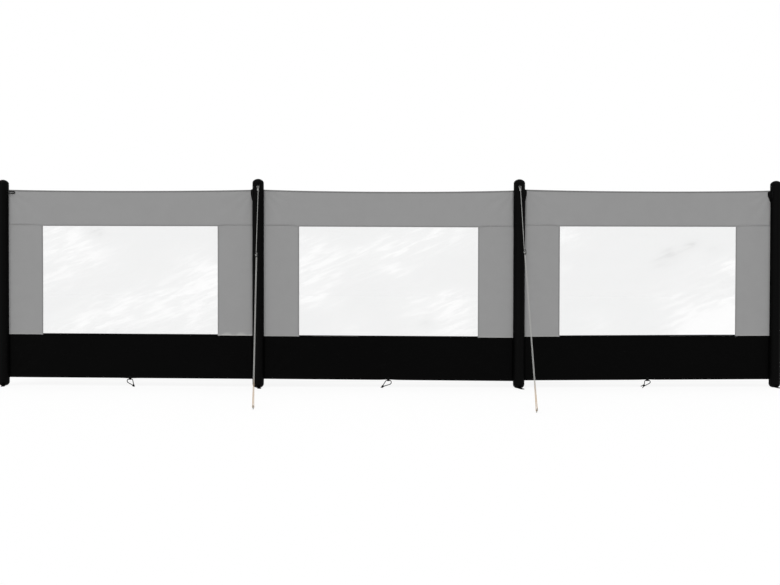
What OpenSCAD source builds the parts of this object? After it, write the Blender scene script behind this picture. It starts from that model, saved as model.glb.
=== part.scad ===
// Beach windbreak of three cloth bays between four blown-up posts.
// Millimetres, +Z up. +X runs along the middle bay and -Y is the guyed side.
// The origin is the centre of the foot of the second post from the left.

/* [Posts] */
// Height of a post above the ground
post_h = 1400; // [1100:10:1800]
// Diameter of a blown-up post
post_d = 76; // [66:1:100]
// Rounding of the foot's edge
foot_round = 26; // [8:1:30]
// Rounding of the crown's edge
crown_round = 24; // [8:1:26]
// Radius of the dome that closes the crown
crown_dome = 45; // [40:1:120]

/* [Bays] */
// Distance between the axes of two neighbouring posts
bay_pitch = 1750; // [1500:10:2200]
// Angle by which each outer bay turns back from the middle one
outer_turn = 3; // [0:0.5:25]
// Height of the lower hem above the ground
hem_lift = 55; // [52:1:120]
// Height of the dark skirt below the side bands
skirt_h = 292; // [150:1:330]
// Height by which the skirt reaches up behind the side bands
skirt_lap = 10; // [4:1:20]
// Width of the clear window between the side bands
window_w = 1200; // [700:10:1300]
// Height of the clear window between the skirt and the top band
window_h = 724; // [400:1:780]
// Height of the top band at the posts
top_band_h = 247; // [120:1:280]
// Sag of the top edge in the middle of a bay
top_sag = 12; // [2:1:40]
// Overlap of two sewn cloths
seam_lap = 14; // [6:1:24]
// Width of a folded hem
hem_w = 12; // [6:1:20]
// Thickness of the cloth
cloth_t = 1.2; // [0.8:0.1:2]
// Thickness of the window film
film_t = 0.6; // [0.4:0.1:1.2]

/* [Foot tabs] */
// Width of the webbing of a foot tab
foot_tab_w = 25; // [20:1:40]
// Distance from the post's axis to the eye for the peg
foot_tab_reach = 74; // [60:1:110]
// Thickness of the webbing of a foot tab
foot_tab_t = 3; // [2:0.5:5]
// Radius of the eye for the peg
foot_eye_r = 5; // [3:0.5:7]
// Turn of a foot tab from straight ahead
foot_tab_turn = 14; // [-30:1:30]

/* [Peg loops] */
// Diameter of the elastic cord of a peg loop
loop_d = 5.5; // [3:0.5:6]
// Width of the webbing fold that holds a peg loop
hem_tab_w = 18; // [10:1:18]
// Height by which a hem tab is sewn up the skirt
hem_tab_rise = 16; // [10:1:40]
// Thickness of the webbing of a hem tab
hem_tab_t = 1.6; // [1:0.1:2.5]

/* [Corner ties] */
// Diameter of the cord of a corner tie
tie_d = 6; // [3:0.5:7]
// Distance from the top edge down to the upper strand of a tie
tie_inset = 9; // [5:1:25]
// Reach of the long tie along the band, from the post
long_tie_reach = 45; // [30:1:80]
// Drop of the long tie between its two strands
long_tie_drop = 12; // [11:1:40]
// Reach of a short tie, a webbing strap, along the band from the post
short_tie_reach = 11; // [6:1:30]
// Reach of the last short tie, at the right end
end_tie_reach = 20; // [6:1:30]
// Length of a short tie down the post
short_tie_drop = 76; // [40:1:120]
// Thickness of the webbing of a short tie
short_tie_t = 2.5; // [1.5:0.5:4]
// Height of a short tie above the top edge
short_tie_rise = 4; // [0:1:12]

/* [Guys] */
// Diameter of the guy cord
guy_d = 3.5; // [3:0.5:5]
// Height of the tab that holds a guy
guy_tab_z = 1352; // [1000:1:1360]
// Width of the webbing of a guy tab
guy_tab_w = 6; // [5:1:18]
// Thickness of the webbing of a guy tab
guy_tab_t = 2; // [1:0.5:3]
// Inner radius of the fold of a guy tab
guy_eye_r = 5; // [4:0.5:8]
// Length of the loop that holds a guy in its tab
guy_loop_h = 36; // [24:1:60]
// Length over which a guy's two strands part to pass round its peg
guy_part_h = 40; // [20:1:80]
// Length of the guy tab that is sewn down the post
guy_tab_sewn = 30; // [15:1:60]
// Distance of the left guy's peg in front of its post
left_guy_reach = 1150; // [700:10:1600]
// Distance of the left guy's peg to the right of its post
left_guy_lean = 123; // [-300:1:300]
// Distance of the right guy's peg in front of its post
right_guy_reach = 1260; // [700:10:1600]
// Distance of the right guy's peg to the right of its post
right_guy_lean = -48; // [-300:1:300]
// Distance along a guy from its tab to the middle of its runner
runner_drop = 605; // [200:5:900]
// Distance between two holes of a runner
runner_pitch = 13; // [10:0.5:20]
// Width of a runner
runner_w = 15; // [14:0.5:24]
// Thickness of a runner
runner_t = 5; // [3:0.5:8]
// Diameter of a guy peg
peg_d = 6; // [4:0.5:9]
// Height of the guy's turn round its peg
peg_turn_z = 14; // [12:1:40]
// Height of a peg's shank above the guy's turn
peg_neck = 12; // [8:1:30]
// Bend radius of a peg's hook
peg_bend = 8; // [6:0.5:14]
// Length of a peg's hook past its bend
peg_tip = 10; // [4:1:30]

/* [Hidden] */
$fn = 48;
// Room between a sewn edge or a cord and what it seats on
seat_gap = 0.3;
// Room all round a cord in a hole with a bend at its mouth
thread_gap = 1.2;
// Length by which a cut runs past the face that it opens
cut_over = 1;
// Sides of a cord's tube
cord_sides = 8;
// Segments of a full circle as wide as the sagging top edge's
sag_segments = 3600;

post_r = post_d / 2;
bay_from = post_r + seat_gap;
bay_w = bay_pitch - 2 * bay_from;
band_w = (bay_w - window_w) / 2;

// Levels of the cloth, from the lower hem to the top edge at the posts
band_z = hem_lift + skirt_h;
window_z = band_z + skirt_lap;
top_band_z = window_z + window_h;
top_edge_z = top_band_z + top_band_h;

// Layers of the cloth, from the guyed side to the back
top_band_y = -(3 * cloth_t + film_t) / 2;
side_band_y = top_band_y + cloth_t;
film_y = side_band_y + cloth_t;
skirt_y = film_y + film_t;

// Crown: the dome runs smoothly into the rounded edge
crown_edge_x = post_r - crown_round;
crown_edge_z = post_h - crown_dome + sqrt(pow(crown_dome - crown_round, 2) - pow(crown_edge_x, 2));
dome_share = crown_dome / (crown_dome - crown_round);

// Bays from the left, and the corner ties, one of cord and three of webbing, each with its bay, side and reach
BAYS = [1, 2, 3];
CORD_TIES = [[BAYS[0], "left", long_tie_reach]];
STRAP_TIES = [
    [BAYS[0], "right", short_tie_reach], [BAYS[2], "left", short_tie_reach], [BAYS[2], "right", end_tie_reach]
];
// Angle round the post, from the bay to the front, at which a cord tie is sewn on
tie_angle = 35;
// Angles round the post between which a webbing tie is sewn on
strap_from = 4.5;
strap_to = 42;

// Peg loops: the strand from the right mouth of the webbing fold to its end, and the one from the left mouth
LOOP_STRANDS = [
    [
        [
            [9, 0, 0], [14.2, -0.5, -1.4], [17.4, -1.5, -3.9], [19, -2.5, -7.1], [21.5, -5, -15],
            [24, -8, -23], [27, -12, -31], [30, -16, -39], [32.5, -21, -43.8], [36, -29, -46.5]
        ], [
            [-9, 0, 0], [-14.2, -0.3, -1.4], [-18, -1, -5.2], [-19.5, -2, -10.5], [-18.8, -3, -15.8],
            [-16, -4, -20.5], [-11.2, -5, -24], [0, -7, -29.4], [10, -9, -34.3], [18, -11, -38.6],
            [23.5, -13, -41.8], [28.5, -15, -45], [35.5, -14, -46.5]
        ]
    ], [
        [
            [9, 0, 0], [14.2, -0.3, -1.4], [18, -1, -5.2], [19.5, -2, -10.5], [19.3, -3, -15.8],
            [17.6, -4, -20.6], [13.8, -5.5, -24.4], [9, -6.5, -26.4], [0, -8.5, -29], [-10, -10.5, -31.8],
            [-20, -12.5, -34.8], [-28, -14.5, -37.2], [-33, -16, -39], [-38, -20, -42.6], [-43, -27, -46.5]
        ], [
            [-9, 0, 0], [-14.2, -0.3, -1.4], [-17.7, -1, -4.6], [-21.6, -2.5, -10.6], [-26, -4.5, -17.2],
            [-30.5, -7, -24], [-34.8, -9.5, -30.3], [-38.8, -12, -35.8], [-43.5, -13.5, -41], [-50, -15, -46]
        ]
    ], [
        [
            [9, 0, 0], [14.2, -0.3, -1.4], [18.1, -1, -5.2], [19.5, -2, -10.5], [18.1, -3, -15.8],
            [14.2, -4.5, -19.2], [6, -7, -23], [-3, -9, -27], [-11, -11, -30.6], [-18, -12.5, -33.5],
            [-24.5, -14, -35.8], [-31, -18, -39], [-36.5, -24, -43.2], [-41, -31, -46.5]
        ], [
            [-9, 0, 0], [-14.2, -0.3, -1.4], [-18.1, -1, -5.2], [-19.5, -2, -10.5], [-19.8, -3.5, -16.5],
            [-21, -5.5, -22], [-23.6, -8, -26.8], [-27.8, -10.5, -30.2], [-33, -12.5, -32.6],
            [-41, -14.5, -35], [-48, -16.5, -38.4]
        ]
    ]
];

POSTS = [1, 2, 3, 4];
GUYED = [2, 3];
SIDES = ["left", "right"];

// Where a post stands
function post_at(p) =
    p == 1 ? [-bay_pitch * cos(outer_turn), bay_pitch * sin(outer_turn), 0] :
    p == 2 ? [0, 0, 0] :
    p == 3 ? [bay_pitch, 0, 0] :
    [bay_pitch * (1 + cos(outer_turn)), bay_pitch * sin(outer_turn), 0];

// Turn of a bay, which runs from its left post along its own +X
function bay_turn(b) = (b - 2) * outer_turn;

module in_bay(b) {
    translate(post_at(b)) rotate(bay_turn(b)) children();
}

// A cord's tube: one ring at each point of its route, carried on without twist
function unit(v) = v / norm(v);
function heading(route, i) =
    i == 0 ? unit(route[1] - route[0]) :
    i == len(route) - 1 ? unit(route[i] - route[i - 1]) :
    unit(unit(route[i + 1] - route[i]) + unit(route[i] - route[i - 1]));
function across(side, along) = unit(side - (side * along) * along);
function ring_sides(route, side, i = 0) =
    i == len(route) ? [] :
    let (next = across(side, heading(route, i))) concat([next], ring_sides(route, next, i + 1));

module tube(route, d, side) {
    sides = ring_sides(route, side);
    rings = [
        for (i = [0 : len(route) - 1], k = [0 : cord_sides - 1])
            let (a = 360 * k / cord_sides, along = heading(route, i))
                route[i] + d / 2 * (cos(a) * sides[i] + sin(a) * cross(along, sides[i]))
    ];
    last = (len(route) - 1) * cord_sides;
    walls = [
        for (i = [0 : len(route) - 2], k = [0 : cord_sides - 1])
            let (a = i * cord_sides + k, b = i * cord_sides + (k + 1) % cord_sides)
                each [[a, a + cord_sides, b], [b, a + cord_sides, b + cord_sides]]
    ];
    ends = [
        [for (k = [0 : cord_sides - 1]) k],
        [for (k = [cord_sides - 1 : -1 : 0]) last + k]
    ];
    polyhedron(rings, concat(walls, ends));
}

// Half outline of a post: a flat foot with a round edge, a straight wall and a domed crown
module post_outline() {
    intersection() {
        square([post_r, post_h]);
        union() {
            translate([0, foot_round]) square([post_r, crown_edge_z - foot_round]);
            square([post_r - foot_round, post_h / 2]);
            translate([post_r - foot_round, foot_round]) circle(foot_round);
            translate([crown_edge_x, crown_edge_z]) circle(crown_round);
            intersection() {
                translate([0, post_h - crown_dome]) circle(crown_dome);
                translate([0, post_h / 2]) square([crown_edge_x * dome_share, post_h]);
            }
        }
    }
}

module post(p) {
    color("#111111") translate(post_at(p)) rotate_extrude() post_outline();
}

// Webbing sewn under a post's foot, flat on the ground, with an eye for a peg
module foot_tab(p) {
    foot_at_tab = post_r - foot_round + sqrt(pow(foot_round, 2) - pow(foot_round - foot_tab_t, 2));
    color("#161616") translate(post_at(p)) rotate(foot_tab_turn) linear_extrude(foot_tab_t)
        difference() {
            union() {
                translate([-foot_tab_w / 2, -foot_tab_reach]) square([foot_tab_w, foot_tab_reach]);
                translate([0, -foot_tab_reach]) circle(foot_tab_w / 2);
            }
            circle(foot_at_tab + seat_gap);
            translate([0, -foot_tab_reach]) circle(foot_eye_r);
        }
}

// A cloth in the plane of its bay, from its outline in X and Z
module cloth(y, t) {
    translate([0, y + t, 0]) rotate([90, 0, 0]) linear_extrude(t) children();
}

// Outline of the top band, whose upper edge sags between the posts
module top_band_outline() {
    sag_r = (pow(bay_w / 2, 2) + pow(top_sag, 2)) / (2 * top_sag);
    difference() {
        translate([bay_from, top_band_z]) square([bay_w, top_band_h]);
        translate([bay_pitch / 2, top_edge_z - top_sag + sag_r]) circle(sag_r, $fn = sag_segments);
    }
}

module top_band(b) {
    color("#929292") in_bay(b) {
        cloth(top_band_y, cloth_t) top_band_outline();
        cloth(side_band_y, cloth_t) difference() {
            top_band_outline();
            translate([0, -hem_w]) top_band_outline();
            translate([bay_from, top_band_z]) square([bay_w, top_band_h / 2]);
        }
    }
}

// Side band with its hem folded to the back along the post
module side_band(b, side) {
    band_x = side == "left" ? bay_from : bay_from + bay_w - band_w;
    hem_x = side == "left" ? bay_from : bay_from + bay_w - hem_w;
    hem_z = window_z + seat_gap;
    color("#8f8f8e") in_bay(b) {
        cloth(side_band_y, cloth_t) translate([band_x, band_z])
            square([band_w, top_band_z + seam_lap - band_z]);
        cloth(film_y, cloth_t) translate([hem_x, hem_z]) square([hem_w, top_band_z + seam_lap - hem_z]);
    }
}

// Clear film behind the side bands and the top band, and in front of the skirt
module window(b) {
    color("#f4f6f6", 0.4) in_bay(b) cloth(film_y, film_t)
        translate([bay_from + band_w - seam_lap, window_z - seam_lap])
            square([window_w + 2 * seam_lap, window_h + 2 * seam_lap]);
}

// Dark skirt with its hem folded to the back along the lower edge
module skirt(b) {
    color("#0c0c0c") in_bay(b) {
        cloth(skirt_y, cloth_t) translate([bay_from, hem_lift]) square([bay_w, window_z - hem_lift]);
        cloth(skirt_y + cloth_t, cloth_t) translate([bay_from, hem_lift]) square([bay_w, hem_w]);
    }
}

// Fold of webbing under the middle of the hem, sewn to the front of the skirt
loop_eye_r = loop_d / 2 + 2 * seat_gap;
hem_fold_r = loop_eye_r + hem_tab_t;
hem_fold_y = skirt_y - hem_tab_t;
hem_fold_z = hem_lift - hem_fold_r - seat_gap;

module hem_tab(b) {
    color("#161616") in_bay(b) translate([(bay_pitch - hem_tab_w) / 2, hem_fold_y, hem_fold_z])
        difference() {
            union() {
                rotate([0, 90, 0]) cylinder(h = hem_tab_w, r = hem_fold_r);
                translate([0, -hem_tab_t, 0])
                    cube([hem_tab_w, 2 * hem_tab_t, hem_lift - hem_fold_z + hem_tab_rise]);
            }
            translate([-cut_over, 0, 0]) rotate([0, 90, 0])
                cylinder(h = hem_tab_w + 2 * cut_over, r = loop_eye_r);
        }
}

// Elastic cord through the fold, whose two ends come together in front of the skirt
module peg_loop(b) {
    strands = LOOP_STRANDS[b - 1];
    left = [for (i = [len(strands[1]) - 1 : -1 : 0]) strands[1][i]];
    color("#262626") in_bay(b) translate([bay_pitch / 2, hem_fold_y, hem_fold_z])
        tube(concat(left, strands[0]), loop_d, [0, 1, 0]);
}

// A corner tie's own frame: the post's middle, with +X along the bay
module at_tie(b, side) {
    in_bay(b) translate([side == "left" ? 0 : bay_pitch, 0, 0])
        mirror([side == "left" ? 0 : 1, 0, 0]) children();
}

// Cord from the post out over the band's corner and back to the post
module cord_tie(b, side, reach) {
    upper_z = top_edge_z - tie_inset;
    lower_z = upper_z - long_tie_drop;
    face_y = top_band_y - tie_d / 2 - seat_gap;
    turn_x = post_r + reach;
    turn = min(long_tie_drop / 2, reach - tie_d / 2);
    sewn = [cos(tie_angle), -sin(tie_angle)];
    on_post = (post_r + seat_gap) * sewn;
    off_post = (post_r + tie_d) * sewn;
    out = [[on_post.x, on_post.y, upper_z], [off_post.x, off_post.y, upper_z]];
    back = [[off_post.x, off_post.y, lower_z], [on_post.x, on_post.y, lower_z]];
    bend = [for (a = [80 : -20 : -80]) [turn_x - turn + turn * cos(a), face_y,
        (upper_z + lower_z) / 2 + (a > 0 ? 1 : -1) * (long_tie_drop / 2 - turn) + turn * sin(a)]];
    color("#1b1b1b") at_tie(b, side) tube(concat(out, bend, back), tie_d, [0, 0, 1]);
}

// Webbing strap with its tail sewn round the post and a tapered tongue over the band's corner
module strap_tie(b, side, reach) {
    near_x = post_r + seat_gap;
    far_x = near_x + reach;
    upper_z = top_edge_z + short_tie_rise;
    lower_z = upper_z - short_tie_drop;
    color("#161616") at_tie(b, side) {
        translate([0, top_band_y - seat_gap, 0]) rotate([90, 0, 0]) linear_extrude(short_tie_t) polygon([
            [near_x, upper_z], [far_x, upper_z - reach / 2], [far_x, upper_z - short_tie_drop * 0.45],
            [near_x + short_tie_t, lower_z], [near_x, lower_z]
        ]);
        translate([0, 0, upper_z - short_tie_drop * 0.7]) rotate(-strap_to)
            rotate_extrude(angle = strap_to - strap_from)
                translate([near_x, 0]) square([short_tie_t, short_tie_drop * 0.6]);
    }
}

// A guy's own frame: +Z runs from its tab to its peg, Y lies level and -X is its upper side
guy_fold_r = guy_eye_r + guy_tab_t;
guy_fold_out = post_r + seat_gap + guy_tab_t / 2 + guy_fold_r;
function guy_end(p) =
    post_at(p) + [0, 0, peg_turn_z] +
    (p == 2 ? [left_guy_lean, -left_guy_reach, 0] : [right_guy_lean, -right_guy_reach, 0]);
function guy_way(p) = guy_end(p) - post_at(p);
function guy_heading(p) = atan2(guy_way(p).y, guy_way(p).x);
function guy_start(p) =
    post_at(p) + guy_fold_out * [cos(guy_heading(p)), sin(guy_heading(p)), 0] + [0, 0, guy_tab_z];
function guy_length(p) = norm(guy_end(p) - guy_start(p));
function guy_fall(p) = acos((guy_end(p).z - guy_start(p).z) / guy_length(p));

module along_guy(p) {
    translate(guy_start(p)) rotate([0, guy_fall(p), guy_heading(p)]) children();
}

// Webbing fold on the front of the post, with its tail sewn down the post
module guy_tab(p) {
    tail_r = post_r + seat_gap;
    tail_angle = 2 * asin((guy_tab_w / 2 - seat_gap) / (tail_r + guy_tab_t));
    color("#161616") difference() {
        union() {
            translate(guy_start(p)) rotate(guy_heading(p)) rotate([90, 0, 0])
                cylinder(h = guy_tab_w, r = guy_fold_r, center = true);
            translate(post_at(p) + [0, 0, guy_tab_z - guy_tab_sewn]) rotate(guy_heading(p) - tail_angle / 2)
                rotate_extrude(angle = tail_angle) translate([tail_r, 0]) square([guy_tab_t, guy_tab_sewn]);
        }
        translate(guy_start(p)) rotate(guy_heading(p)) rotate([90, 0, 0])
            cylinder(h = 2 * guy_tab_w, r = guy_eye_r, center = true);
    }
}

// Middle of a runner's three holes: across the guy, then along it
thread_r = guy_d / 2 + thread_gap;
hole_side = guy_d / 2 + 2 * seat_gap;
RUNNER_HOLES = [[-hole_side, -runner_pitch], [hole_side, 0], [-hole_side, runner_pitch]];

module guy_runner(p) {
    color("#0f0f0f") along_guy(p) translate([runner_t / 2, 0, runner_drop]) rotate([0, -90, 0])
        linear_extrude(runner_t) difference() {
            union() {
                square([2 * runner_pitch, runner_w], center = true);
                for (end = [-1, 1]) translate([end * runner_pitch, 0]) circle(runner_w / 2);
            }
            for (hole = RUNNER_HOLES) translate([hole.y, hole.x]) circle(thread_r);
        }
}

// One cord: a loop in the tab, down to the runner, through two holes, round the peg and back to the third
module guy_line(p) {
    r = guy_d / 2;
    beside = r + seat_gap;
    tab_side = guy_tab_w / 2;
    loop_side = tab_side + 0.8 * guy_d;
    face_x = runner_t / 2 + beside;
    mouth_x = runner_t / 2;
    end_z = guy_length(p);
    turn_r = peg_d / 2 + beside;
    first = RUNNER_HOLES[0];
    second = RUNNER_HOLES[1];
    third = RUNNER_HOLES[2];
    bend = beside + seat_gap;
    eye_z = guy_eye_r - beside;
    loop = [
        for (at = [
            [-beside, guy_loop_h + 2 * guy_d], [-beside, guy_loop_h], [-loop_side, guy_d * 2.4],
            [-loop_side, guy_d], [-tab_side - guy_d * 0.6, guy_d * 0.3], [-tab_side, 0],
            [tab_side, 0], [tab_side + guy_d * 0.6, guy_d * 0.3], [loop_side, guy_d],
            [loop_side, guy_d * 2.4], [beside, guy_loop_h], [beside, guy_loop_h + 2 * guy_d]
        ]) [0, at.x, eye_z + at.y]
    ];
    threaded = [
        [face_x, first.x, runner_drop + first.y - runner_pitch],
        [face_x, first.x, runner_drop + first.y - bend],
        [mouth_x, first.x, runner_drop + first.y], [-mouth_x, first.x, runner_drop + first.y],
        [-face_x, first.x, runner_drop + first.y + bend], [-face_x, second.x, runner_drop + second.y - bend],
        [-mouth_x, second.x, runner_drop + second.y], [mouth_x, second.x, runner_drop + second.y],
        [face_x, second.x, runner_drop + second.y + bend], [face_x, second.x, runner_drop + 2 * runner_pitch]
    ];
    turned = concat(
        [[0, beside, end_z - guy_part_h]],
        [for (a = [90 : -30 : -90]) [0, turn_r * sin(a), end_z + turn_r * cos(a)]],
        [[0, -beside, end_z - guy_part_h]]
    );
    ended = [
        [face_x, third.x, runner_drop + 2 * runner_pitch], [face_x, third.x, runner_drop + third.y + bend],
        [mouth_x, third.x, runner_drop + third.y], [-face_x, third.x, runner_drop + third.y]
    ];
    color("#c6bba8") along_guy(p) tube(concat(loop, threaded, turned, ended), guy_d, [1, 0, 0]);
}

// Hooked peg square to its guy, from the ground up
module guy_peg(p) {
    reach = left_guy_reach + right_guy_reach;
    color("#9a9a98") intersection() {
        along_guy(p) translate([0, 0, guy_length(p)]) {
            translate([-peg_neck, 0, 0]) rotate([0, 90, 0])
                cylinder(h = peg_neck + 4 * peg_turn_z, d = peg_d);
            translate([-peg_neck, 0, peg_bend]) rotate([90, 0, 0]) rotate([0, 0, 180])
                rotate_extrude(angle = 90) translate([peg_bend, 0]) circle(d = peg_d);
            translate([-peg_neck - peg_bend, 0, peg_bend]) cylinder(h = peg_tip, d = peg_d);
        }
        translate([-reach, -reach, 0] + post_at(p)) cube([2 * reach, 2 * reach, post_h]);
    }
}

for (p = POSTS) {
    post(p);
    foot_tab(p);
}
for (p = GUYED) {
    guy_tab(p);
    guy_line(p);
    guy_runner(p);
    guy_peg(p);
}
for (b = BAYS) {
    top_band(b);
    for (s = SIDES) side_band(b, s);
    window(b);
    skirt(b);
    hem_tab(b);
    peg_loop(b);
}
for (t = CORD_TIES)
    cord_tie(t[0], t[1], t[2]);
for (t = STRAP_TIES)
    strap_tie(t[0], t[1], t[2]);
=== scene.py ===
import logging
import math
from dataclasses import dataclass, field
from enum import Enum
from functools import cached_property
from typing import Sequence

import bpy
import numpy as np
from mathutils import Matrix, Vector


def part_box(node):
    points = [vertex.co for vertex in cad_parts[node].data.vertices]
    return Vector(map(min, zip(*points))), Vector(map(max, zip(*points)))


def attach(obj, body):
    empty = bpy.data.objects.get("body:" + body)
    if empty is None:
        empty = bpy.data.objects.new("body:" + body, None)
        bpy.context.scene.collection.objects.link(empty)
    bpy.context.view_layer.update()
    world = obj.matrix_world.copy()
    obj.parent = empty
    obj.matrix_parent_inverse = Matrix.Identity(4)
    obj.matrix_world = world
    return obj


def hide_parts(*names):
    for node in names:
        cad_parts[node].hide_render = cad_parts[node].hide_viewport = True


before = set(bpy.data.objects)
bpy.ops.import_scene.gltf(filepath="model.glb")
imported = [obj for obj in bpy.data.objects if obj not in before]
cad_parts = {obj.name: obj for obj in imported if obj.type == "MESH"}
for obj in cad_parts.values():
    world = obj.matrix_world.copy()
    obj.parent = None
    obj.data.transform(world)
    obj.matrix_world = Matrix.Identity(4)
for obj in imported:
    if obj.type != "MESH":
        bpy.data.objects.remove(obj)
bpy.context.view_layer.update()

LOG = logging.getLogger("windbreak")
MM = 0.001
PHOTO_WIDTH_PX = 780
UV_NAME = "thread_run"
# Share by which the cloth, the sleeves and the film take painted shade or painted highlight
TONE = "tone_share"
# Colour inputs and colour output of a Mix node, and the setting that makes it mix colours
FIRST, SECOND, MIXED = 6, 7, 2
COLOURS = {"data_type": "RGBA"}
# Edges sharper than this are rounded, and shaded as edges
SHARP_DEG = 40.0
# Cloth that lies nearer to its front layer than this is the front layer
SAME_LAYER = 1e-9
# The rounded tip of a cord, as shares of its radius: how far it stands out, and how wide it ends
TIP_REACH, TIP_WIDTH = 0.45, 0.6
# A way that no cord starts along, to find a first way across it
ODD_WAY = (0.31, 0.52, 0.79)
Link = tuple[bpy.types.Node, str | int]
Colour = tuple[float, float, float, float]


class Slot(Enum):
    """Kinds of material of the windbreak."""

    POST = "post_sleeve"
    GREY = "grey_cloth"
    SKIRT = "skirt_cloth"
    FILM = "window_film"
    WEBBING = "webbing"
    ELASTIC = "elastic"
    GUY = "guy_cord"
    RUNNER = "runner"


class Side(Enum):
    """The two ends of a bay, with the sign of the way out to its post."""

    LEFT = -1
    RIGHT = 1


class Face(Enum):
    """The two faces of a cloth, with the sign of the way out along the bay's depth."""

    FRONT = -1
    BACK = 1


def linear(colour: str, lighter: float = 1.0) -> Colour:
    """Turn an sRGB hex colour to linear RGBA.

    Args:
        colour: Six hex digits after a hash.
        lighter: Factor on the linear colour.
    Returns:
        The linear colour with an alpha of 1.
    """
    shares = [int(colour[i:i + 2], 16) / 255 for i in (1, 3, 5)]
    return (*[lighter * (s / 12.92 if s <= 0.04045 else ((s + 0.055) / 1.055) ** 2.4) for s in shares], 1.0)


def add_node(
    tree: bpy.types.NodeTree, kind: str, settings: dict | None = None, inputs: dict | None = None
) -> bpy.types.Node:
    """Add one shader node with its settings, constants and incoming links.

    Args:
        tree: Node tree that gets the node.
        kind: Node type.
        settings: Properties of the node.
        inputs: By input, a constant, or a link as a node and the name of its output.
    Returns:
        The new node.
    """
    node = tree.nodes.new(kind)
    for name, value in (settings or {}).items():
        setattr(node, name, value)
    for key, value in (inputs or {}).items():
        if isinstance(value, tuple) and isinstance(value[0], bpy.types.Node):
            tree.links.new(value[0].outputs[value[1]], node.inputs[key])
        else:
            node.inputs[key].default_value = value
    return node


def new_material(name: str) -> tuple[bpy.types.Material, bpy.types.NodeTree]:
    """Make an empty node material.

    Args:
        name: Name of the real material.
    Returns:
        The material and its node tree.
    """
    material = bpy.data.materials.new(name)
    material.use_nodes = True
    material.node_tree.nodes.clear()
    return material, material.node_tree


def close_material(
    tree: bpy.types.NodeTree, tone: Link, pattern: Link, roughness: tuple[float, float],
    relief: tuple[float, float], constants: dict[str, float],
) -> None:
    """Close a material with one Principled shader, whose gloss and relief follow one pattern.

    Args:
        tree: Node tree of the material.
        tone: Its colour.
        pattern: Its pattern, from 0 to 1.
        roughness: Roughness at the pattern's 0 and at its 1.
        relief: Strength of the relief, and its depth in millimetres.
        constants: Further inputs of the shader.
    """
    dull = add_node(
        tree, "ShaderNodeMapRange", None, {"Value": pattern, "To Min": roughness[0], "To Max": roughness[1]}
    )
    bump = add_node(
        tree, "ShaderNodeBump", None, {"Height": pattern, "Strength": relief[0], "Distance": relief[1] * MM}
    )
    shader = add_node(tree, "ShaderNodeBsdfPrincipled", None, {
        "Base Color": tone, "Roughness": (dull, "Result"), "Normal": (bump, "Normal"), **constants,
    })
    add_node(tree, "ShaderNodeOutputMaterial", None, {"Surface": (shader, "BSDF")})


def wave_scale(period_mm: float) -> float:
    """Give the scale at which a Wave texture's bands repeat at this period."""
    return 2 * math.pi / 20 / (period_mm * MM)


@dataclass(frozen=True)
class WovenCloth:
    """Plain-woven, coated polyester; a tone share of 1 paints shade where the cloth is doubled or seamed, one
    of -1 paints a highlight along a loose edge.
    """

    name: str
    colour: str
    doubled_shade: str
    painted_highlight: str
    mottle_mm: float
    mottle: float
    roughness: float
    sheen: float
    specular: float
    thread_mm: float = 1.6
    relief_mm: float = 0.12

    def material(self) -> bpy.types.Material:
        """Make the cloth: dull with a faint sheen, a fine check of threads and soft cloudy tone.

        Returns:
            The material.
        """
        material, tree = new_material(self.name)
        run = add_node(tree, "ShaderNodeUVMap", {"uv_map": UV_NAME})
        place = add_node(tree, "ShaderNodeTexCoord")
        warp, weft = [
            add_node(tree, "ShaderNodeTexWave", {"bands_direction": way}, {
                "Vector": (run, "UV"), "Scale": wave_scale(self.thread_mm), "Distortion": 0.6, "Detail": 1.0,
            })
            for way in ("X", "Y")
        ]
        check = add_node(
            tree, "ShaderNodeMath", {"operation": "SUBTRACT"}, {0: (warp, "Fac"), 1: (weft, "Fac")}
        )
        weave = add_node(tree, "ShaderNodeMath", {"operation": "ABSOLUTE"}, {0: (check, "Value")})
        cloud = add_node(tree, "ShaderNodeTexNoise", None, {
            "Vector": (place, "Object"), "Scale": 1 / (self.mottle_mm * MM), "Detail": 4.0, "Roughness": 0.6,
        })
        single = add_node(tree, "ShaderNodeMix", COLOURS, {
            "Factor": (cloud, "Fac"), FIRST: linear(self.colour, 1 - self.mottle),
            SECOND: linear(self.colour, 1 + self.mottle),
        })
        # Painted shade: a share over 0 darkens the cloth where it lies doubled and along seams, for less light
        # through two layers and shade in the puckers
        share = add_node(tree, "ShaderNodeAttribute", {"attribute_name": TONE})
        layered = add_node(tree, "ShaderNodeMix", COLOURS, {
            "Factor": (share, "Fac"), FIRST: (single, MIXED), SECOND: linear(self.doubled_shade),
        })
        # Painted highlight: a share under 0 lightens the cloth towards the pale edge colour, for light caught
        # by a curled lower edge
        highlight_share = add_node(tree, "ShaderNodeMath", {"operation": "MULTIPLY"}, {0: (share, "Fac"), 1: -1.0})
        cloth = add_node(tree, "ShaderNodeMix", COLOURS, {
            "Factor": (highlight_share, "Value"), FIRST: (layered, MIXED), SECOND: linear(self.painted_highlight),
        })
        close_material(
            tree, (cloth, MIXED), (weave, "Value"), roughness=(self.roughness - 0.08, self.roughness + 0.08),
            relief=(0.35, self.relief_mm), constants={
                "Sheen Weight": self.sheen, "Sheen Roughness": 0.5, "Specular IOR Level": self.specular,
            },
        )
        return material


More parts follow.
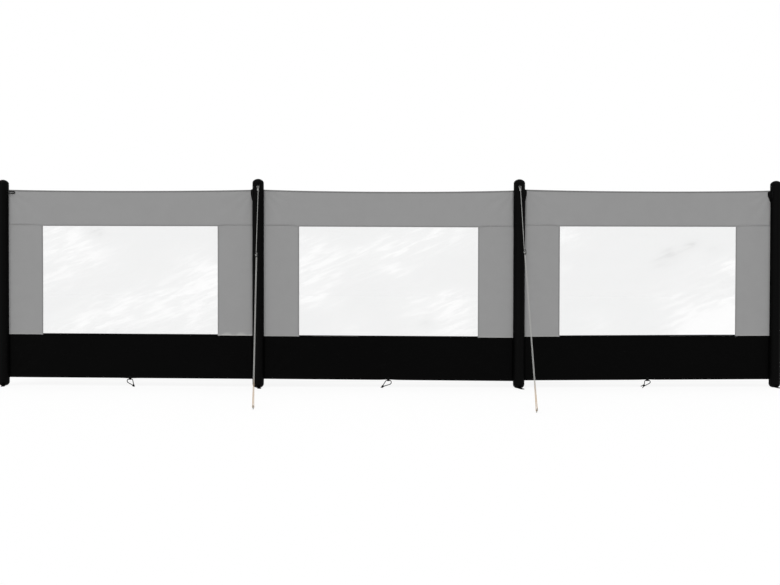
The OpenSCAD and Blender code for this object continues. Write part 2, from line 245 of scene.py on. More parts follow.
@dataclass(frozen=True)
class ClearVinyl:
    """Calendered clear PVC film; a tone share over 0 paints a milky white highlight where it was folded, one
    under 0 paints the shade of a dark crease.
    """

    name: str
    clear: str
    crease_highlight: str
    shaded: str
    alpha: float
    crease_mm: float
    crease_rise_deg: float
    roughness: float
    ior: float = 1.53
    crease_stretch: float = 7.0
    relief_mm: float = 0.6

    def material(self) -> bpy.types.Material:
        """Make the film: see-through and glossy, with long milky streaks of painted highlight in the folded
        places.

        Returns:
            The material.
        """
        material, tree = new_material(self.name)
        place = add_node(tree, "ShaderNodeTexCoord")
        slant = add_node(tree, "ShaderNodeMapping", {"vector_type": "TEXTURE"}, {
            "Vector": (place, "Object"), "Rotation": (0, math.radians(-self.crease_rise_deg), 0),
            "Scale": (self.crease_stretch, 1, 1),
        })
        streak = add_node(tree, "ShaderNodeTexNoise", None, {
            "Vector": (slant, "Vector"), "Scale": 1 / (self.crease_mm * MM), "Detail": 3.0, "Roughness": 0.55,
            "Distortion": 0.3,
        })
        fold = add_node(tree, "ShaderNodeMapRange", None, {
            "Value": (streak, "Fac"), "From Min": 0.47, "From Max": 0.63, "To Min": 0.2,
        })
        share = add_node(tree, "ShaderNodeAttribute", {"attribute_name": TONE})
        white = add_node(
            tree, "ShaderNodeMath", {"operation": "MULTIPLY"}, {0: (fold, "Result"), 1: (share, "Fac")}
        )
        dark = add_node(tree, "ShaderNodeMath", {"operation": "MULTIPLY", "use_clamp": True}, {
            0: (white, "Value"), 1: -1.0,
        })
        # Painted shade: dark creases where the share is under 0
        crease = add_node(tree, "ShaderNodeMix", COLOURS, {
            "Factor": (dark, "Value"), FIRST: linear(self.clear), SECOND: linear(self.shaded),
        })
        # Painted highlight: milky white where the share is over 0, for light glinting off the folds
        film_with_painted_light = add_node(tree, "ShaderNodeMix", COLOURS, {
            "Factor": (white, "Value"), FIRST: (crease, MIXED), SECOND: linear(self.crease_highlight),
        })
        close_material(
            tree, (film_with_painted_light, MIXED), (streak, "Fac"), roughness=(self.roughness, self.roughness + 0.12),
            relief=(0.25, self.relief_mm), constants={"Alpha": self.alpha, "IOR": self.ior},
        )
        return material


@dataclass(frozen=True)
class BraidedCord:
    """Braided polyester or elastic cord, sandy up to a height above the ground where it names a sand."""

    name: str
    colour: str
    groove_shade: str
    strand_mm: float
    slant_deg: float
    roughness: float
    specular: float
    sand: str | None = None
    sand_mm: float = 0.0
    relief_mm: float = 0.3

    def material(self) -> bpy.types.Material:
        """Make the braid: two sets of strands that cross on the slant, with painted shade in the grooves.

        Returns:
            The material.
        """
        material, tree = new_material(self.name)
        run = add_node(tree, "ShaderNodeUVMap", {"uv_map": UV_NAME})
        ways = []
        for slant in (self.slant_deg, -self.slant_deg):
            turned = add_node(tree, "ShaderNodeMapping", None, {
                "Vector": (run, "UV"), "Rotation": (0, 0, math.radians(slant)),
            })
            ways.append(add_node(tree, "ShaderNodeTexWave", {"bands_direction": "X"}, {
                "Vector": (turned, "Vector"), "Scale": wave_scale(self.strand_mm),
            }))
        high = add_node(
            tree, "ShaderNodeMath", {"operation": "MAXIMUM"}, {0: (ways[0], "Fac"), 1: (ways[1], "Fac")}
        )
        tone = add_node(tree, "ShaderNodeMix", COLOURS, {
            "Factor": (high, "Value"), FIRST: linear(self.groove_shade), SECOND: linear(self.colour),
        })
        if self.sand:
            place = add_node(tree, "ShaderNodeTexCoord")
            height = add_node(tree, "ShaderNodeSeparateXYZ", None, {"Vector": (place, "Object")})
            low = add_node(tree, "ShaderNodeMapRange", None, {
                "Value": (height, "Z"), "From Min": self.sand_mm * MM, "From Max": 0.5 * self.sand_mm * MM,
                "To Max": 0.85,
            })
            tone = add_node(tree, "ShaderNodeMix", COLOURS, {
                "Factor": (low, "Result"), FIRST: (tone, MIXED), SECOND: linear(self.sand),
            })
        close_material(
            tree, (tone, MIXED), (high, "Value"), roughness=(self.roughness + 0.15, self.roughness),
            relief=(0.6, self.relief_mm), constants={"Specular IOR Level": self.specular},
        )
        return material


@dataclass(frozen=True)
class RibbedWebbing:
    """Woven polypropylene webbing."""

    name: str
    colour: str
    groove_shade: str
    rib_mm: float
    roughness: float
    specular: float
    slant_deg: float = 40.0
    relief_mm: float = 0.35

    def material(self) -> bpy.types.Material:
        """Make the webbing: close ribs on the slant with a dull shine on their tops and painted shade between
        them.

        Returns:
            The material.
        """
        material, tree = new_material(self.name)
        place = add_node(tree, "ShaderNodeTexCoord")
        turn = math.radians(self.slant_deg)
        slant = add_node(
            tree, "ShaderNodeMapping", None, {"Vector": (place, "Object"), "Rotation": (turn, 0, turn)}
        )
        rib = add_node(tree, "ShaderNodeTexWave", {"bands_direction": "X"}, {
            "Vector": (slant, "Vector"), "Scale": wave_scale(self.rib_mm), "Distortion": 0.4,
        })
        tone = add_node(tree, "ShaderNodeMix", COLOURS, {
            "Factor": (rib, "Fac"), FIRST: linear(self.groove_shade), SECOND: linear(self.colour),
        })
        close_material(
            tree, (tone, MIXED), (rib, "Fac"), roughness=(self.roughness + 0.15, self.roughness),
            relief=(0.6, self.relief_mm), constants={"Specular IOR Level": self.specular},
        )
        return material


@dataclass(frozen=True)
class GrainedSolid:
    """A hard or spun material with a fine even grain, such as moulded nylon, zinc or thread."""

    name: str
    colour: str
    shade: str
    grain_mm: float
    roughness: float
    specular: float
    metallic: float = 0.0
    relief_mm: float = 0.05

    def material(self) -> bpy.types.Material:
        """Make the solid: a fine grain moves its tone, its gloss and its relief.

        Returns:
            The material.
        """
        material, tree = new_material(self.name)
        place = add_node(tree, "ShaderNodeTexCoord")
        grain = add_node(tree, "ShaderNodeTexNoise", None, {
            "Vector": (place, "Object"), "Scale": 1 / (self.grain_mm * MM), "Detail": 3.0, "Roughness": 0.6,
        })
        tone = add_node(tree, "ShaderNodeMix", COLOURS, {
            "Factor": (grain, "Fac"), FIRST: linear(self.shade), SECOND: linear(self.colour),
        })
        close_material(
            tree, (tone, MIXED), (grain, "Fac"), roughness=(self.roughness - 0.1, self.roughness + 0.1),
            relief=(0.4, self.relief_mm),
            constants={"Metallic": self.metallic, "Specular IOR Level": self.specular},
        )
        return material


class Finishes:
    """The finishes of the windbreak, each made once."""

    def __init__(self) -> None:
        """Make every material; threads and ribs are about twice as coarse as real, so that they show."""
        # Dull mid grey with a soft cloudy tone, with painted shade where it is doubled and along its seams,
        # and a painted highlight along a loose lower edge
        self.grey_cloth = WovenCloth(
            "grey woven polyester", "#949494", "#777777", "#b4b4b1", mottle_mm=90, mottle=0.04, roughness=0.8,
            sheen=0.04, specular=0.2,
        ).material()
        # Deep matt black that hardly shows its folds
        self.skirt_cloth = WovenCloth(
            "black coated polyester", "#030303", "#020202", "#0c0c0c", mottle_mm=60, mottle=0.25,
            roughness=0.66, sheen=0.0, specular=0.03,
        ).material()
        # The same black, with a little more shine where the sleeve is stretched over its tube
        self.sleeve_cloth = WovenCloth(
            "black post sleeve polyester", "#030303", "#020202", "#0c0c0c", mottle_mm=50, mottle=0.25,
            roughness=0.55, sheen=0.0, specular=0.04,
        ).material()
        # Nearly clear, a shade under white, with painted highlights as milky streaks and painted shade in a
        # few dark creases where it was folded
        self.film = ClearVinyl(
            "clear PVC film", "#c4c6c6", "#ffffff", "#303434", alpha=0.13, crease_mm=24, crease_rise_deg=22,
            roughness=0.12,
        ).material()
        # Black ribs with a faint shine on their tops and painted shade between them
        self.webbing = RibbedWebbing(
            "black polypropylene webbing", "#090909", "#030303", rib_mm=1.4, roughness=0.6, specular=0.06
        ).material()
        # Black braid, slightly paler on the strands, with painted shade in the grooves
        self.elastic = BraidedCord(
            "black braided elastic", "#0b0b0b", "#040404", strand_mm=1.1, slant_deg=38, roughness=0.6,
            specular=0.06,
        ).material()
        # Pale grey braid with painted shade in its grooves, sandy where it nears the ground
        self.guy_cord = BraidedCord(
            "pale grey braided polyester cord", "#b4b4b2", "#7e7e7b", strand_mm=1.3, slant_deg=35,
            roughness=0.65, specular=0.3, sand="#bc955a", sand_mm=170,
        ).material()
        # Black plastic with a soft moulded shine
        self.nylon = GrainedSolid(
            "black moulded nylon", "#0e0e0f", "#080808", grain_mm=0.9, roughness=0.42, specular=0.25
        ).material()
        # Pale metal with a dull, uneven shine
        self.steel = GrainedSolid(
            "zinc-plated steel wire", "#b9b9b6", "#8d8d8b", grain_mm=2.5, roughness=0.36, specular=0.5,
            metallic=1.0,
        ).material()
        # Thread a shade darker than the grey cloth
        self.grey_thread = GrainedSolid(
            "grey spun polyester thread", "#737373", "#5c5c5c", grain_mm=0.5, roughness=0.7, specular=0.3
        ).material()
        # Pale thread, a light dash on the black cloth: a painted highlight, for glints off the film's lower
        # edge
        self.glint_thread = GrainedSolid(
            "pale spun polyester thread", "#c4c4c2", "#a2a2a0", grain_mm=0.5, roughness=0.7, specular=0.3
        ).material()
        # Thread a shade paler than the black cloth
        self.black_thread = GrainedSolid(
            "black spun polyester thread", "#151515", "#0b0b0b", grain_mm=0.5, roughness=0.7, specular=0.1
        ).material()


def deselect() -> None:
    """Deselect every object."""
    bpy.ops.object.select_all(action="DESELECT")


def activate(piece: bpy.types.Object) -> None:
    """Select one object alone and make it the active one.

    Args:
        piece: The object.
    """
    deselect()
    piece.select_set(True)
    bpy.context.view_layer.objects.active = piece


def named_primitive(name: str) -> bpy.types.Object:
    """Name the primitive that was just added and drop its own UV map.

    Args:
        name: Name of the piece that it becomes.
    Returns:
        The primitive.
    """
    piece = bpy.context.active_object
    piece.name = piece.data.name = name
    while piece.data.uv_layers:
        piece.data.uv_layers.remove(piece.data.uv_layers[0])
    return piece


def apply_modifier(piece: bpy.types.Object, kind: str, settings: dict) -> None:
    """Add a modifier with its settings and apply it.

    Args:
        piece: Object that gets the modifier.
        kind: Modifier type.
        settings: Properties of the modifier.
    """
    activate(piece)
    modifier = piece.modifiers.new(kind.lower(), kind)
    for name, value in settings.items():
        setattr(modifier, name, value)
    bpy.ops.object.modifier_apply(modifier=modifier.name)


def points_of(mesh: bpy.types.Mesh) -> np.ndarray:
    """Read a mesh's points as rows of three numbers.

    Args:
        mesh: The mesh.
    Returns:
        One row for each point.
    """
    flat = np.empty(len(mesh.vertices) * 3)
    mesh.vertices.foreach_get("co", flat)
    return flat.reshape(-1, 3)


def set_points(mesh: bpy.types.Mesh, points: np.ndarray) -> None:
    """Move a mesh's points to these rows of three numbers."""
    mesh.vertices.foreach_set("co", points.astype(np.float32).ravel())
    mesh.update()


def set_thread_run(mesh: bpy.types.Mesh, run: np.ndarray, around: float = 0.0) -> None:
    """Write the way of the threads, in metres, as the mesh's own UV map.

    Args:
        mesh: Mesh that gets the map.
        run: Two lengths for each point.
        around: Length of a full turn where the first length runs round a closed piece.
    """
    layer = mesh.uv_layers.new(name=UV_NAME)
    corner = np.empty(len(mesh.loops), dtype=np.int32)
    mesh.loops.foreach_get("vertex_index", corner)
    uv = run[corner].copy()
    if around:
        first, count = np.empty((2, len(mesh.polygons)), dtype=np.int32)
        mesh.polygons.foreach_get("loop_start", first)
        mesh.polygons.foreach_get("loop_total", count)
        face = np.repeat(np.arange(len(first)), count)
        highest = np.maximum.reduceat(uv[:, 0], first)[face]
        uv[highest - uv[:, 0] > around / 2, 0] += around
    layer.data.foreach_set("uv", uv.astype(np.float32).ravel())


def set_tone(mesh: bpy.types.Mesh, share: np.ndarray) -> None:
    """Write at each point how far, and which way, the finish changes there."""
    mesh.attributes.new(TONE, "FLOAT", "POINT").data.foreach_set("value", share.astype(np.float32).ravel())


def mesh_piece(name: str, points: np.ndarray, faces: Sequence[Sequence[int]]) -> bpy.types.Object:
    """Link a new object made of these points and faces.

    Args:
        name: Name of the piece.
        points: Rows of three numbers, in metres.
        faces: Corners of each face, in order from outside.
    Returns:
        The new object, at the origin.
    """
    mesh = bpy.data.meshes.new(name)
    mesh.from_pydata(points.tolist(), [], [list(f) for f in faces])
    mesh.update()
    piece = bpy.data.objects.new(name, mesh)
    bpy.context.scene.collection.objects.link(piece)
    return piece


def fit_in(
    piece: bpy.types.Object, finish: bpy.types.Material, nodes: Sequence[str] = (),
    smooth_deg: float = 180.0,
) -> bpy.types.Object:
    """Dress a piece, let it ride on the frame and report it.

    Args:
        piece: Finished mesh.
        finish: Its material.
        nodes: CAD nodes that the piece stands for.
        smooth_deg: Angle up to which edges are shaded smooth.
    Returns:
        The piece.
    """
    piece.data.materials.clear()
    piece.data.materials.append(finish)
    activate(piece)
    if smooth_deg >= 180:
        bpy.ops.object.shade_smooth()
    else:
        bpy.ops.object.shade_smooth_by_angle(angle=math.radians(smooth_deg))
    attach(piece, "root")
    if nodes:
        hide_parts(*nodes)
    LOG.info("%s: %d faces, %s", piece.name, len(piece.data.polygons), finish.name)
    return piece


def soft_fitting(
    node: str, kind: str, finish: bpy.types.Material, edge: float
) -> bpy.types.Object:
    """Copy a CAD node's shape, round its sharp edges and dress it.

    Args:
        node: CAD node that the copy stands for.
        kind: What the copy is, which follows the node in its name.
        finish: Its material.
        edge: Width of the rounding.
    Returns:
        The copy, with its own mesh.
    """
    piece = bpy.data.objects.new(f"{node}_{kind}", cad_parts[node].data.copy())
    bpy.context.scene.collection.objects.link(piece)
    activate(piece)
    bpy.ops.object.mode_set(mode="EDIT")
    bpy.ops.mesh.select_all(action="SELECT")
    bpy.ops.mesh.customdata_custom_splitnormals_clear()
    bpy.ops.mesh.remove_doubles(threshold=0.01 * MM)
    bpy.ops.mesh.dissolve_limited(angle_limit=math.radians(2))
    bpy.ops.object.mode_set(mode="OBJECT")
    apply_modifier(piece, "BEVEL", {
        "width": edge, "segments": 2, "limit_method": "ANGLE", "angle_limit": math.radians(SHARP_DEG),
        "harden_normals": False,
    })
    return fit_in(piece, finish, [node], SHARP_DEG)


def grid_sheet(name: str, places: np.ndarray) -> tuple[bpy.types.Object, tuple[np.ndarray, np.ndarray]]:
    """Lay a grid of cloth on places that are given by row and column.

    Args:
        name: Name of the sheet.
        places: Rows by columns of three numbers.
    Returns:
        The sheet, one layer thick, and the row and column of each of its points.
    """
    rows, columns = places.shape[:2]
    deselect()
    bpy.ops.mesh.primitive_grid_add(x_subdivisions=columns - 1, y_subdivisions=rows - 1, size=2)
    sheet = named_primitive(name)
    flat = points_of(sheet.data)
    column = np.rint((flat[:, 0] + 1) / 2 * (columns - 1)).astype(int)
    row = np.rint((flat[:, 1] + 1) / 2 * (rows - 1)).astype(int)
    set_points(sheet.data, places[row, column])
    return sheet, (row, column)


def stations(start: float, stop: float, step: float, marks: Sequence[float] = ()) -> np.ndarray:
    """Spread grid lines evenly, with extra ones at given places.

    Args:
        start: First line.
        stop: Last line.
        step: Widest room between two lines.
        marks: Places that get a line of their own.
    Returns:
        Rising places of the lines.
    """
    fixed = sorted({start, stop, *[m for m in marks if start < m < stop]})
    runs = [
        np.linspace(a, b, max(1, math.ceil((b - a) / step)), endpoint=False) for a, b in zip(fixed, fixed[1:])
    ]
    return np.append(np.concatenate(runs), stop)


def unit(ways: np.ndarray) -> np.ndarray:
    """Bring one way, or rows of them, to a length of 1."""
    return ways / np.linalg.norm(ways, axis=-1, keepdims=True)


def lengths_along(line: np.ndarray) -> np.ndarray:
    """Measure a line from its start to each of its points."""
    return np.concatenate([[0], np.cumsum(np.linalg.norm(np.diff(line, axis=0), axis=1))])


def points_at(line: np.ndarray, lengths: np.ndarray) -> np.ndarray:
    """Find the points of a line at these lengths from its start."""
    along = lengths_along(line)
    return np.stack([np.interp(lengths, along, axis) for axis in line.T], axis=1)


def smooth_route(route: np.ndarray, step: float) -> np.ndarray:
    """Round a route's corners, by cutting each twice, and space its points evenly.

    Args:
        route: Points chosen by hand.
        step: Room between two points of the result.
    Returns:
        route: Listed points.
    """
    line = np.asarray(route, dtype=float)
    for _ in range(2):
        cut = np.stack([0.75 * line[:-1] + 0.25 * line[1:], 0.25 * line[:-1] + 0.75 * line[1:]], axis=1)
        line = np.concatenate([line[:1], cut.reshape(-1, 3), line[-1:]])
    length = lengths_along(line)[-1]
    return points_at(line, np.linspace(0, length, max(2, math.ceil(length / step)) + 1))


def cord_tube(name: str, line: np.ndarray, diameter: float, sides: int = 12) -> bpy.types.Object:
    """Sweep a round cord along a smooth line, with rounded ends.

    Args:
        name: Name of the cord.
        line: Points of its middle.
        diameter: Thickness of the cord.
        sides: Points round the cord.
    Returns:
        The cord, with the way of its strands as UV.
    """
    radius = diameter / 2
    tip = TIP_REACH * radius
    line = np.concatenate([
        [line[0] + tip * unit(line[0] - line[1])], line, [line[-1] + tip * unit(line[-1] - line[-2])]
    ])
    widths = np.full(len(line), radius)
    widths[[0, -1]] = TIP_WIDTH * radius
    ways = unit(np.gradient(line, axis=0))
    side = np.cross(ways[0], ODD_WAY)
    turn = 2 * math.pi * np.arange(sides) / sides
    rings = []
    for place, way, width in zip(line, ways, widths):
        side = unit(side - way * (side @ way))
        up = np.cross(way, side)
        rings.append(place + width * (np.cos(turn)[:, None] * side + np.sin(turn)[:, None] * up))
    points = np.concatenate([*rings, line[:1], line[-1:]])
    count = len(line)
    around = [(k, (k + 1) % sides) for k in range(sides)]
    walls = [
        (low + a, low + b, low + sides + b, low + sides + a)
        for low in range(0, (count - 1) * sides, sides) for a, b in around
    ]
    last = (count - 1) * sides
    ends = [(count * sides, b, a) for a, b in around]
    ends += [(count * sides + 1, last + a, last + b) for a, b in around]
    cord = mesh_piece(name, points, walls + ends)
    along = lengths_along(line)
    run = np.stack([np.tile(turn * radius, count), np.repeat(along, sides)], axis=1)
    set_thread_run(cord.data, np.concatenate([run, [[0, 0], [0, along[-1]]]]), around=2 * math.pi * radius)
    return cord


def wound_knot(
    name: str, start: np.ndarray, along: np.ndarray, across: np.ndarray, wide: float, high: float,
    diameter: float, turns: float,
) -> bpy.types.Object:
    """Wind a knot round two strands that lie side by side.

    Args:
        name: Name of the knot.
        start: Middle of the first turn.
        along: Way of the strands, of length 1.
        across: Way from one strand to the other.
        wide: Half width of the turns, from strand to strand.
        high: Half height of the turns.
        diameter: Thickness of the cord.
        turns: Number of turns.
    Returns:
        The knot.
    """
    side = unit(across - along * (across @ along))
    off = np.cross(side, along)
    pitch, steps_a_turn = 0.95 * diameter, 14
    angles = np.linspace(0, 2 * math.pi * turns, int(steps_a_turn * turns) + 1)
    wound = [(math.cos(a), math.sin(a), a / (2 * math.pi)) for a in angles]
    tucked = np.array([(0.3, 0.1, -0.3), *wound, (0.2, 0.2, turns + 0.7)])
    route = start + tucked * (high, wide, pitch) @ np.stack([off, side, along])
    return cord_tube(name, smooth_route(route, step=1.2 * MM), diameter)


@dataclass
class Stitching:
    """Rows of sewing thread of one colour, gathered into one piece."""

    name: str
    length: float = 4.2 * MM
    pitch: float = 6.0 * MM
    width: float = 1.1 * MM
    spread: float = 1.15
    flatness: float = 0.9
    points: list[np.ndarray] = field(default_factory=list)
    faces: list[np.ndarray] = field(default_factory=list)

    @cached_property
    def stitch(self) -> tuple[np.ndarray, np.ndarray]:
        """Shape one stitch from a ball: long, thin and flat where it is pulled into the cloth.

        Returns:
            Its points, with X along the thread and Z off the cloth, and its triangles.
        """
        deselect()
        lying = (0, math.pi / 2, 0)
        bpy.ops.mesh.primitive_uv_sphere_add(segments=4, ring_count=3, radius=0.5, rotation=lying)
        ball = bpy.context.active_object
        bpy.ops.object.transform_apply(location=True, rotation=True, scale=True)
        bpy.ops.object.mode_set(mode="EDIT")
        bpy.ops.mesh.select_all(action="SELECT")
        bpy.ops.transform.resize(value=(self.length, self.width * self.spread, self.width * self.flatness))
        bpy.ops.mesh.quads_convert_to_tris()
        bpy.ops.object.mode_set(mode="OBJECT")
        mesh = ball.data
        points = points_of(mesh)
        triangles = np.array([p.vertices[:] for p in mesh.polygons])
        bpy.data.objects.remove(ball)
        bpy.data.meshes.remove(mesh)
        return points, triangles

    def sew(self, line: np.ndarray, outward: np.ndarray) -> None:
        """Sew a row of stitches along a line on the cloth.

        Args:
            line: Points of the row, on the face of the cloth.
            outward: The way off the cloth.
        """
        half, length = self.length / 2, lengths_along(line)[-1]
        count = max(1, round((length - self.length) / self.pitch) + 1)
        middles = np.linspace(half, length - half, count)
        way = unit(points_at(line, middles + half) - points_at(line, middles - half))
        side = unit(np.cross(outward, way))
        axes = np.stack([way, side, np.cross(way, side)], axis=1)
        shape, triangles = self.stitch
        start = sum(len(p) for p in self.points)
        firsts = start + len(shape) * np.arange(count)
        self.faces.append((triangles[None] + firsts[:, None, None]).reshape(-1, 3))
        self.points.append((points_at(line, middles)[:, None] + shape @ axes).reshape(-1, 3))

    def build(self, finish: bpy.types.Material, slot: Slot) -> bpy.types.Object:
        """Join the rows into one dressed piece."""
        piece = mesh_piece(self.name, np.concatenate(self.points), np.concatenate(self.faces))
        return fit_in(piece, finish)


@dataclass
class Post:
    """One air-filled post: a sewn black sleeve, tight over its tube."""

    number: int
    foot_round: float = 26 * MM
    crown_round: float = 24 * MM
    crown_dome: float = 45 * MM
    cap_seam_drop: float = 34 * MM
    foot_seam_rise: float = 36 * MM
    seam_depth: float = 1.1 * MM
    seam_w: float = 1.6 * MM
    pucker: float = 0.7 * MM
    pucker_reach: float = 11 * MM
    pucker_clear: float = 2.2 * MM
    pucker_count: int = 22
    side_seam_w: float = 7 * MM
    side_seam_rise: float = 0.9 * MM
    crown_h: float = 50 * MM
    fade: float = 30 * MM
    slack: float = 0.22 * MM
    ring_step: float = 9 * MM
    segments: int = 72

    def __post_init__(self) -> None:
        """Take the post's place and size from its CAD node."""
        low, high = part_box(self.node)
        self.middle = np.array([(low[0] + high[0]) / 2, (low[1] + high[1]) / 2])
        self.radius = (high[0] - low[0]) / 2
        self.height = high[2]
        self.seams = (self.foot_seam_rise, self.height - self.cap_seam_drop)

    @property
    def node(self) -> str:
        """Name of the post's CAD node."""
        return f"post_{self.number}"

    def outline(self) -> np.ndarray:
        """Draw half the post's outline from the middle of its foot to the top of its crown.

        Returns:
            Rows of radius and height.
        """
        r, foot, edge, dome = self.radius, self.foot_round, self.crown_round, self.crown_dome
        dome_z = self.height - dome
        edge_z = dome_z + math.sqrt((dome - edge) ** 2 - (r - edge) ** 2)
        meet = math.atan2(edge_z - dome_z, r - edge)
        flat = [(k * (r - foot) / 3, 0.0) for k in range(3)]
        quarter = np.linspace(0, math.pi / 2, 9)
        heel = [(r - foot + foot * math.sin(a), foot - foot * math.cos(a)) for a in quarter]
        marks = [seam + d * MM for seam in self.seams for d in (-6, -3, -1.5, 0, 1.5, 3, 6)]
        wall = [(r, z) for z in stations(foot, edge_z, self.ring_step, marks)[1:-1]]
        brow = [(r - edge + edge * math.cos(a), edge_z + edge * math.sin(a)) for a in np.linspace(0, meet, 8)]
        rise = np.linspace(meet, math.pi / 2, 9)[1:]
        cap = [(dome * math.cos(a), dome_z + dome * math.sin(a)) for a in rise]
        return np.array(flat + heel + wall + brow + cap)

    def side_seam(self, turn: np.ndarray) -> np.ndarray:
        """Give the share of the side seams at these angles round the post."""
        return np.exp(-(np.abs(np.sin(turn)) * self.radius / (self.side_seam_w / 2)) ** 4)

    def relief(self, turn: np.ndarray, z: np.ndarray) -> np.ndarray:
        """Give how far the sleeve stands out of its plain outline.

        Args:
            turn: Angle round the post from the bay's way.
            z: Height.
        Returns:
            Lengths, positive outwards.
        """
        out = np.zeros_like(z)
        phase = 1.7 * self.number
        folds = np.cos(self.pucker_count * turn + 1.3 * np.sin(3 * turn + phase))
        for seam in self.seams:
            off = np.abs(z - seam)
            out -= self.seam_depth * np.exp(-(off / self.seam_w) ** 2)
            beside = 1 - np.exp(-(off / self.pucker_clear) ** 2)
            out += self.pucker * folds * np.exp(-off / self.pucker_reach) * beside
        over_foot, under_crown = z - self.foot_round, self.height - self.crown_h - z
        on_wall = np.clip(over_foot / self.fade, 0, 1) * np.clip(under_crown / self.fade, 0, 1)
        waves = np.sin(z / 0.083 + 2 * turn + phase) * np.sin(z / 0.19 - turn)
        waves += 0.6 * np.sin(z / 0.037 + 3 * turn)
        return out + (self.side_seam_rise * self.side_seam(turn) + self.slack * waves) * on_wall

    def build(self, finishes: Finishes) -> bpy.types.Object:
        """Shape the sleeve from a ball, ring by ring, and dress it.

        Args:
            finishes: The finishes of the windbreak.
        Returns:
            The sleeve.
        """
        outline = self.outline()
        deselect()
        bpy.ops.mesh.primitive_uv_sphere_add(segments=self.segments, ring_count=len(outline) - 1, radius=1)
        sleeve = named_primitive(f"{self.node}_sleeve")
        ball = points_of(sleeve.data)
        polar = np.arccos(np.clip(-ball[:, 2], -1, 1)) / math.pi
        ring = np.rint(polar * (len(outline) - 1)).astype(int)
        turn = np.arctan2(ball[:, 1], ball[:, 0])
        radius, z = outline[ring].T
        radius = np.where(radius > 1e-6, radius + self.relief(turn, z), 0)
        x, y = self.middle[0] + radius * np.cos(turn), self.middle[1] + radius * np.sin(turn)
        set_points(sleeve.data, np.stack([x, y, z], axis=1))
        run = np.stack([turn * self.radius, lengths_along(outline)[ring]], axis=1)
        set_thread_run(sleeve.data, run, around=2 * math.pi * self.radius)
        # Painted shade: the side seams take the darker doubled colour
        set_tone(sleeve.data, self.side_seam(turn))
        fit_in(sleeve, finishes.sleeve_cloth, [self.node])
        return sleeve


# How far each bay's hem, skirt seam, top band seam and top edge hang off level, at its left and right post
LIFTS_MM = {
    1: [(2, 2), (6, 4), (6.5, 1.5), (4, -1)],
    2: [(3, -8), (1, -6), (1, -4), (0, -3)],
    3: [(-3.5, 0), (1, 6.5), (4.5, 7), (3.5, 6)],
}

# Places of painted light on each film: share of its width, share of its height, size, and strength, which
# paints a milky highlight where it is over 0 and the shade of a dark crease where it is less than 0
FILM_PAINTED_LIGHT = {
    1: [
        (0.08, 0.9, 0.18, 1.0), (0.22, 0.74, 0.2, 1.0), (0.04, 0.5, 0.14, 0.7), (0.2, 0.06, 0.14, 1.1),
        (0.42, 0.18, 0.18, 1.2), (0.66, 0.3, 0.17, 1.0), (0.9, 0.42, 0.18, 1.2), (0.86, 0.18, 0.16, 1.0),
        (0.86, 0.7, 0.12, 0.6), (0.98, 0.56, 0.09, 2.5), (0.3, 0.94, 0.06, -1.4),
    ],
    2: [
        (0.06, 0.76, 0.17, 1.2), (0.1, 0.54, 0.15, 1.1), (0.36, 0.7, 0.15, 0.8), (0.55, 0.8, 0.16, 1.1),
        (0.78, 0.94, 0.16, 1.2), (0.7, 0.28, 0.15, 1.1), (0.86, 0.3, 0.14, 1.0), (0.86, 0.07, 0.16, 0.9),
        (0.14, 0.3, 0.09, 1.0), (0.04, 0.38, 0.1, 1.6), (0.3, 0.1, 0.12, 0.5), (0.54, 0.6, 0.07, 1.2),
        (0.72, 0.12, 0.06, -1.2),
    ],
    3: [
        # Bay 3's lower right corner gets a strong painted glare
        (0.05, 0.9, 0.1, 0.9), (1.0, 0.0, 0.22, 12.0), (0.84, 0.0, 0.12, 6.0), (0.64, 0.34, 0.12, 0.7),
        (0.86, 0.6, 0.16, 0.5), (0.2, 0.12, 0.09, 0.5), (0.99, 0.62, 0.06, 2.0), (0.02, 0.62, 0.05, 1.2),
        (0.74, 0.84, 0.05, -1.3), (0.64, 0.74, 0.06, -1.3), (0.57, 0.66, 0.05, -0.9),
        (0.88, 0.78, 0.06, -0.5),
    ],
}


@dataclass
class Panel:
    """One sheet of a bay, laid out on a grid of rows by columns before it is hung."""

    part: str
    x: np.ndarray
    y: np.ndarray | float
    z: np.ndarray
    run: tuple[np.ndarray, np.ndarray]
    share: np.ndarray
    thickness: float
    flat: tuple[float, float]
    rests_on: list[str]


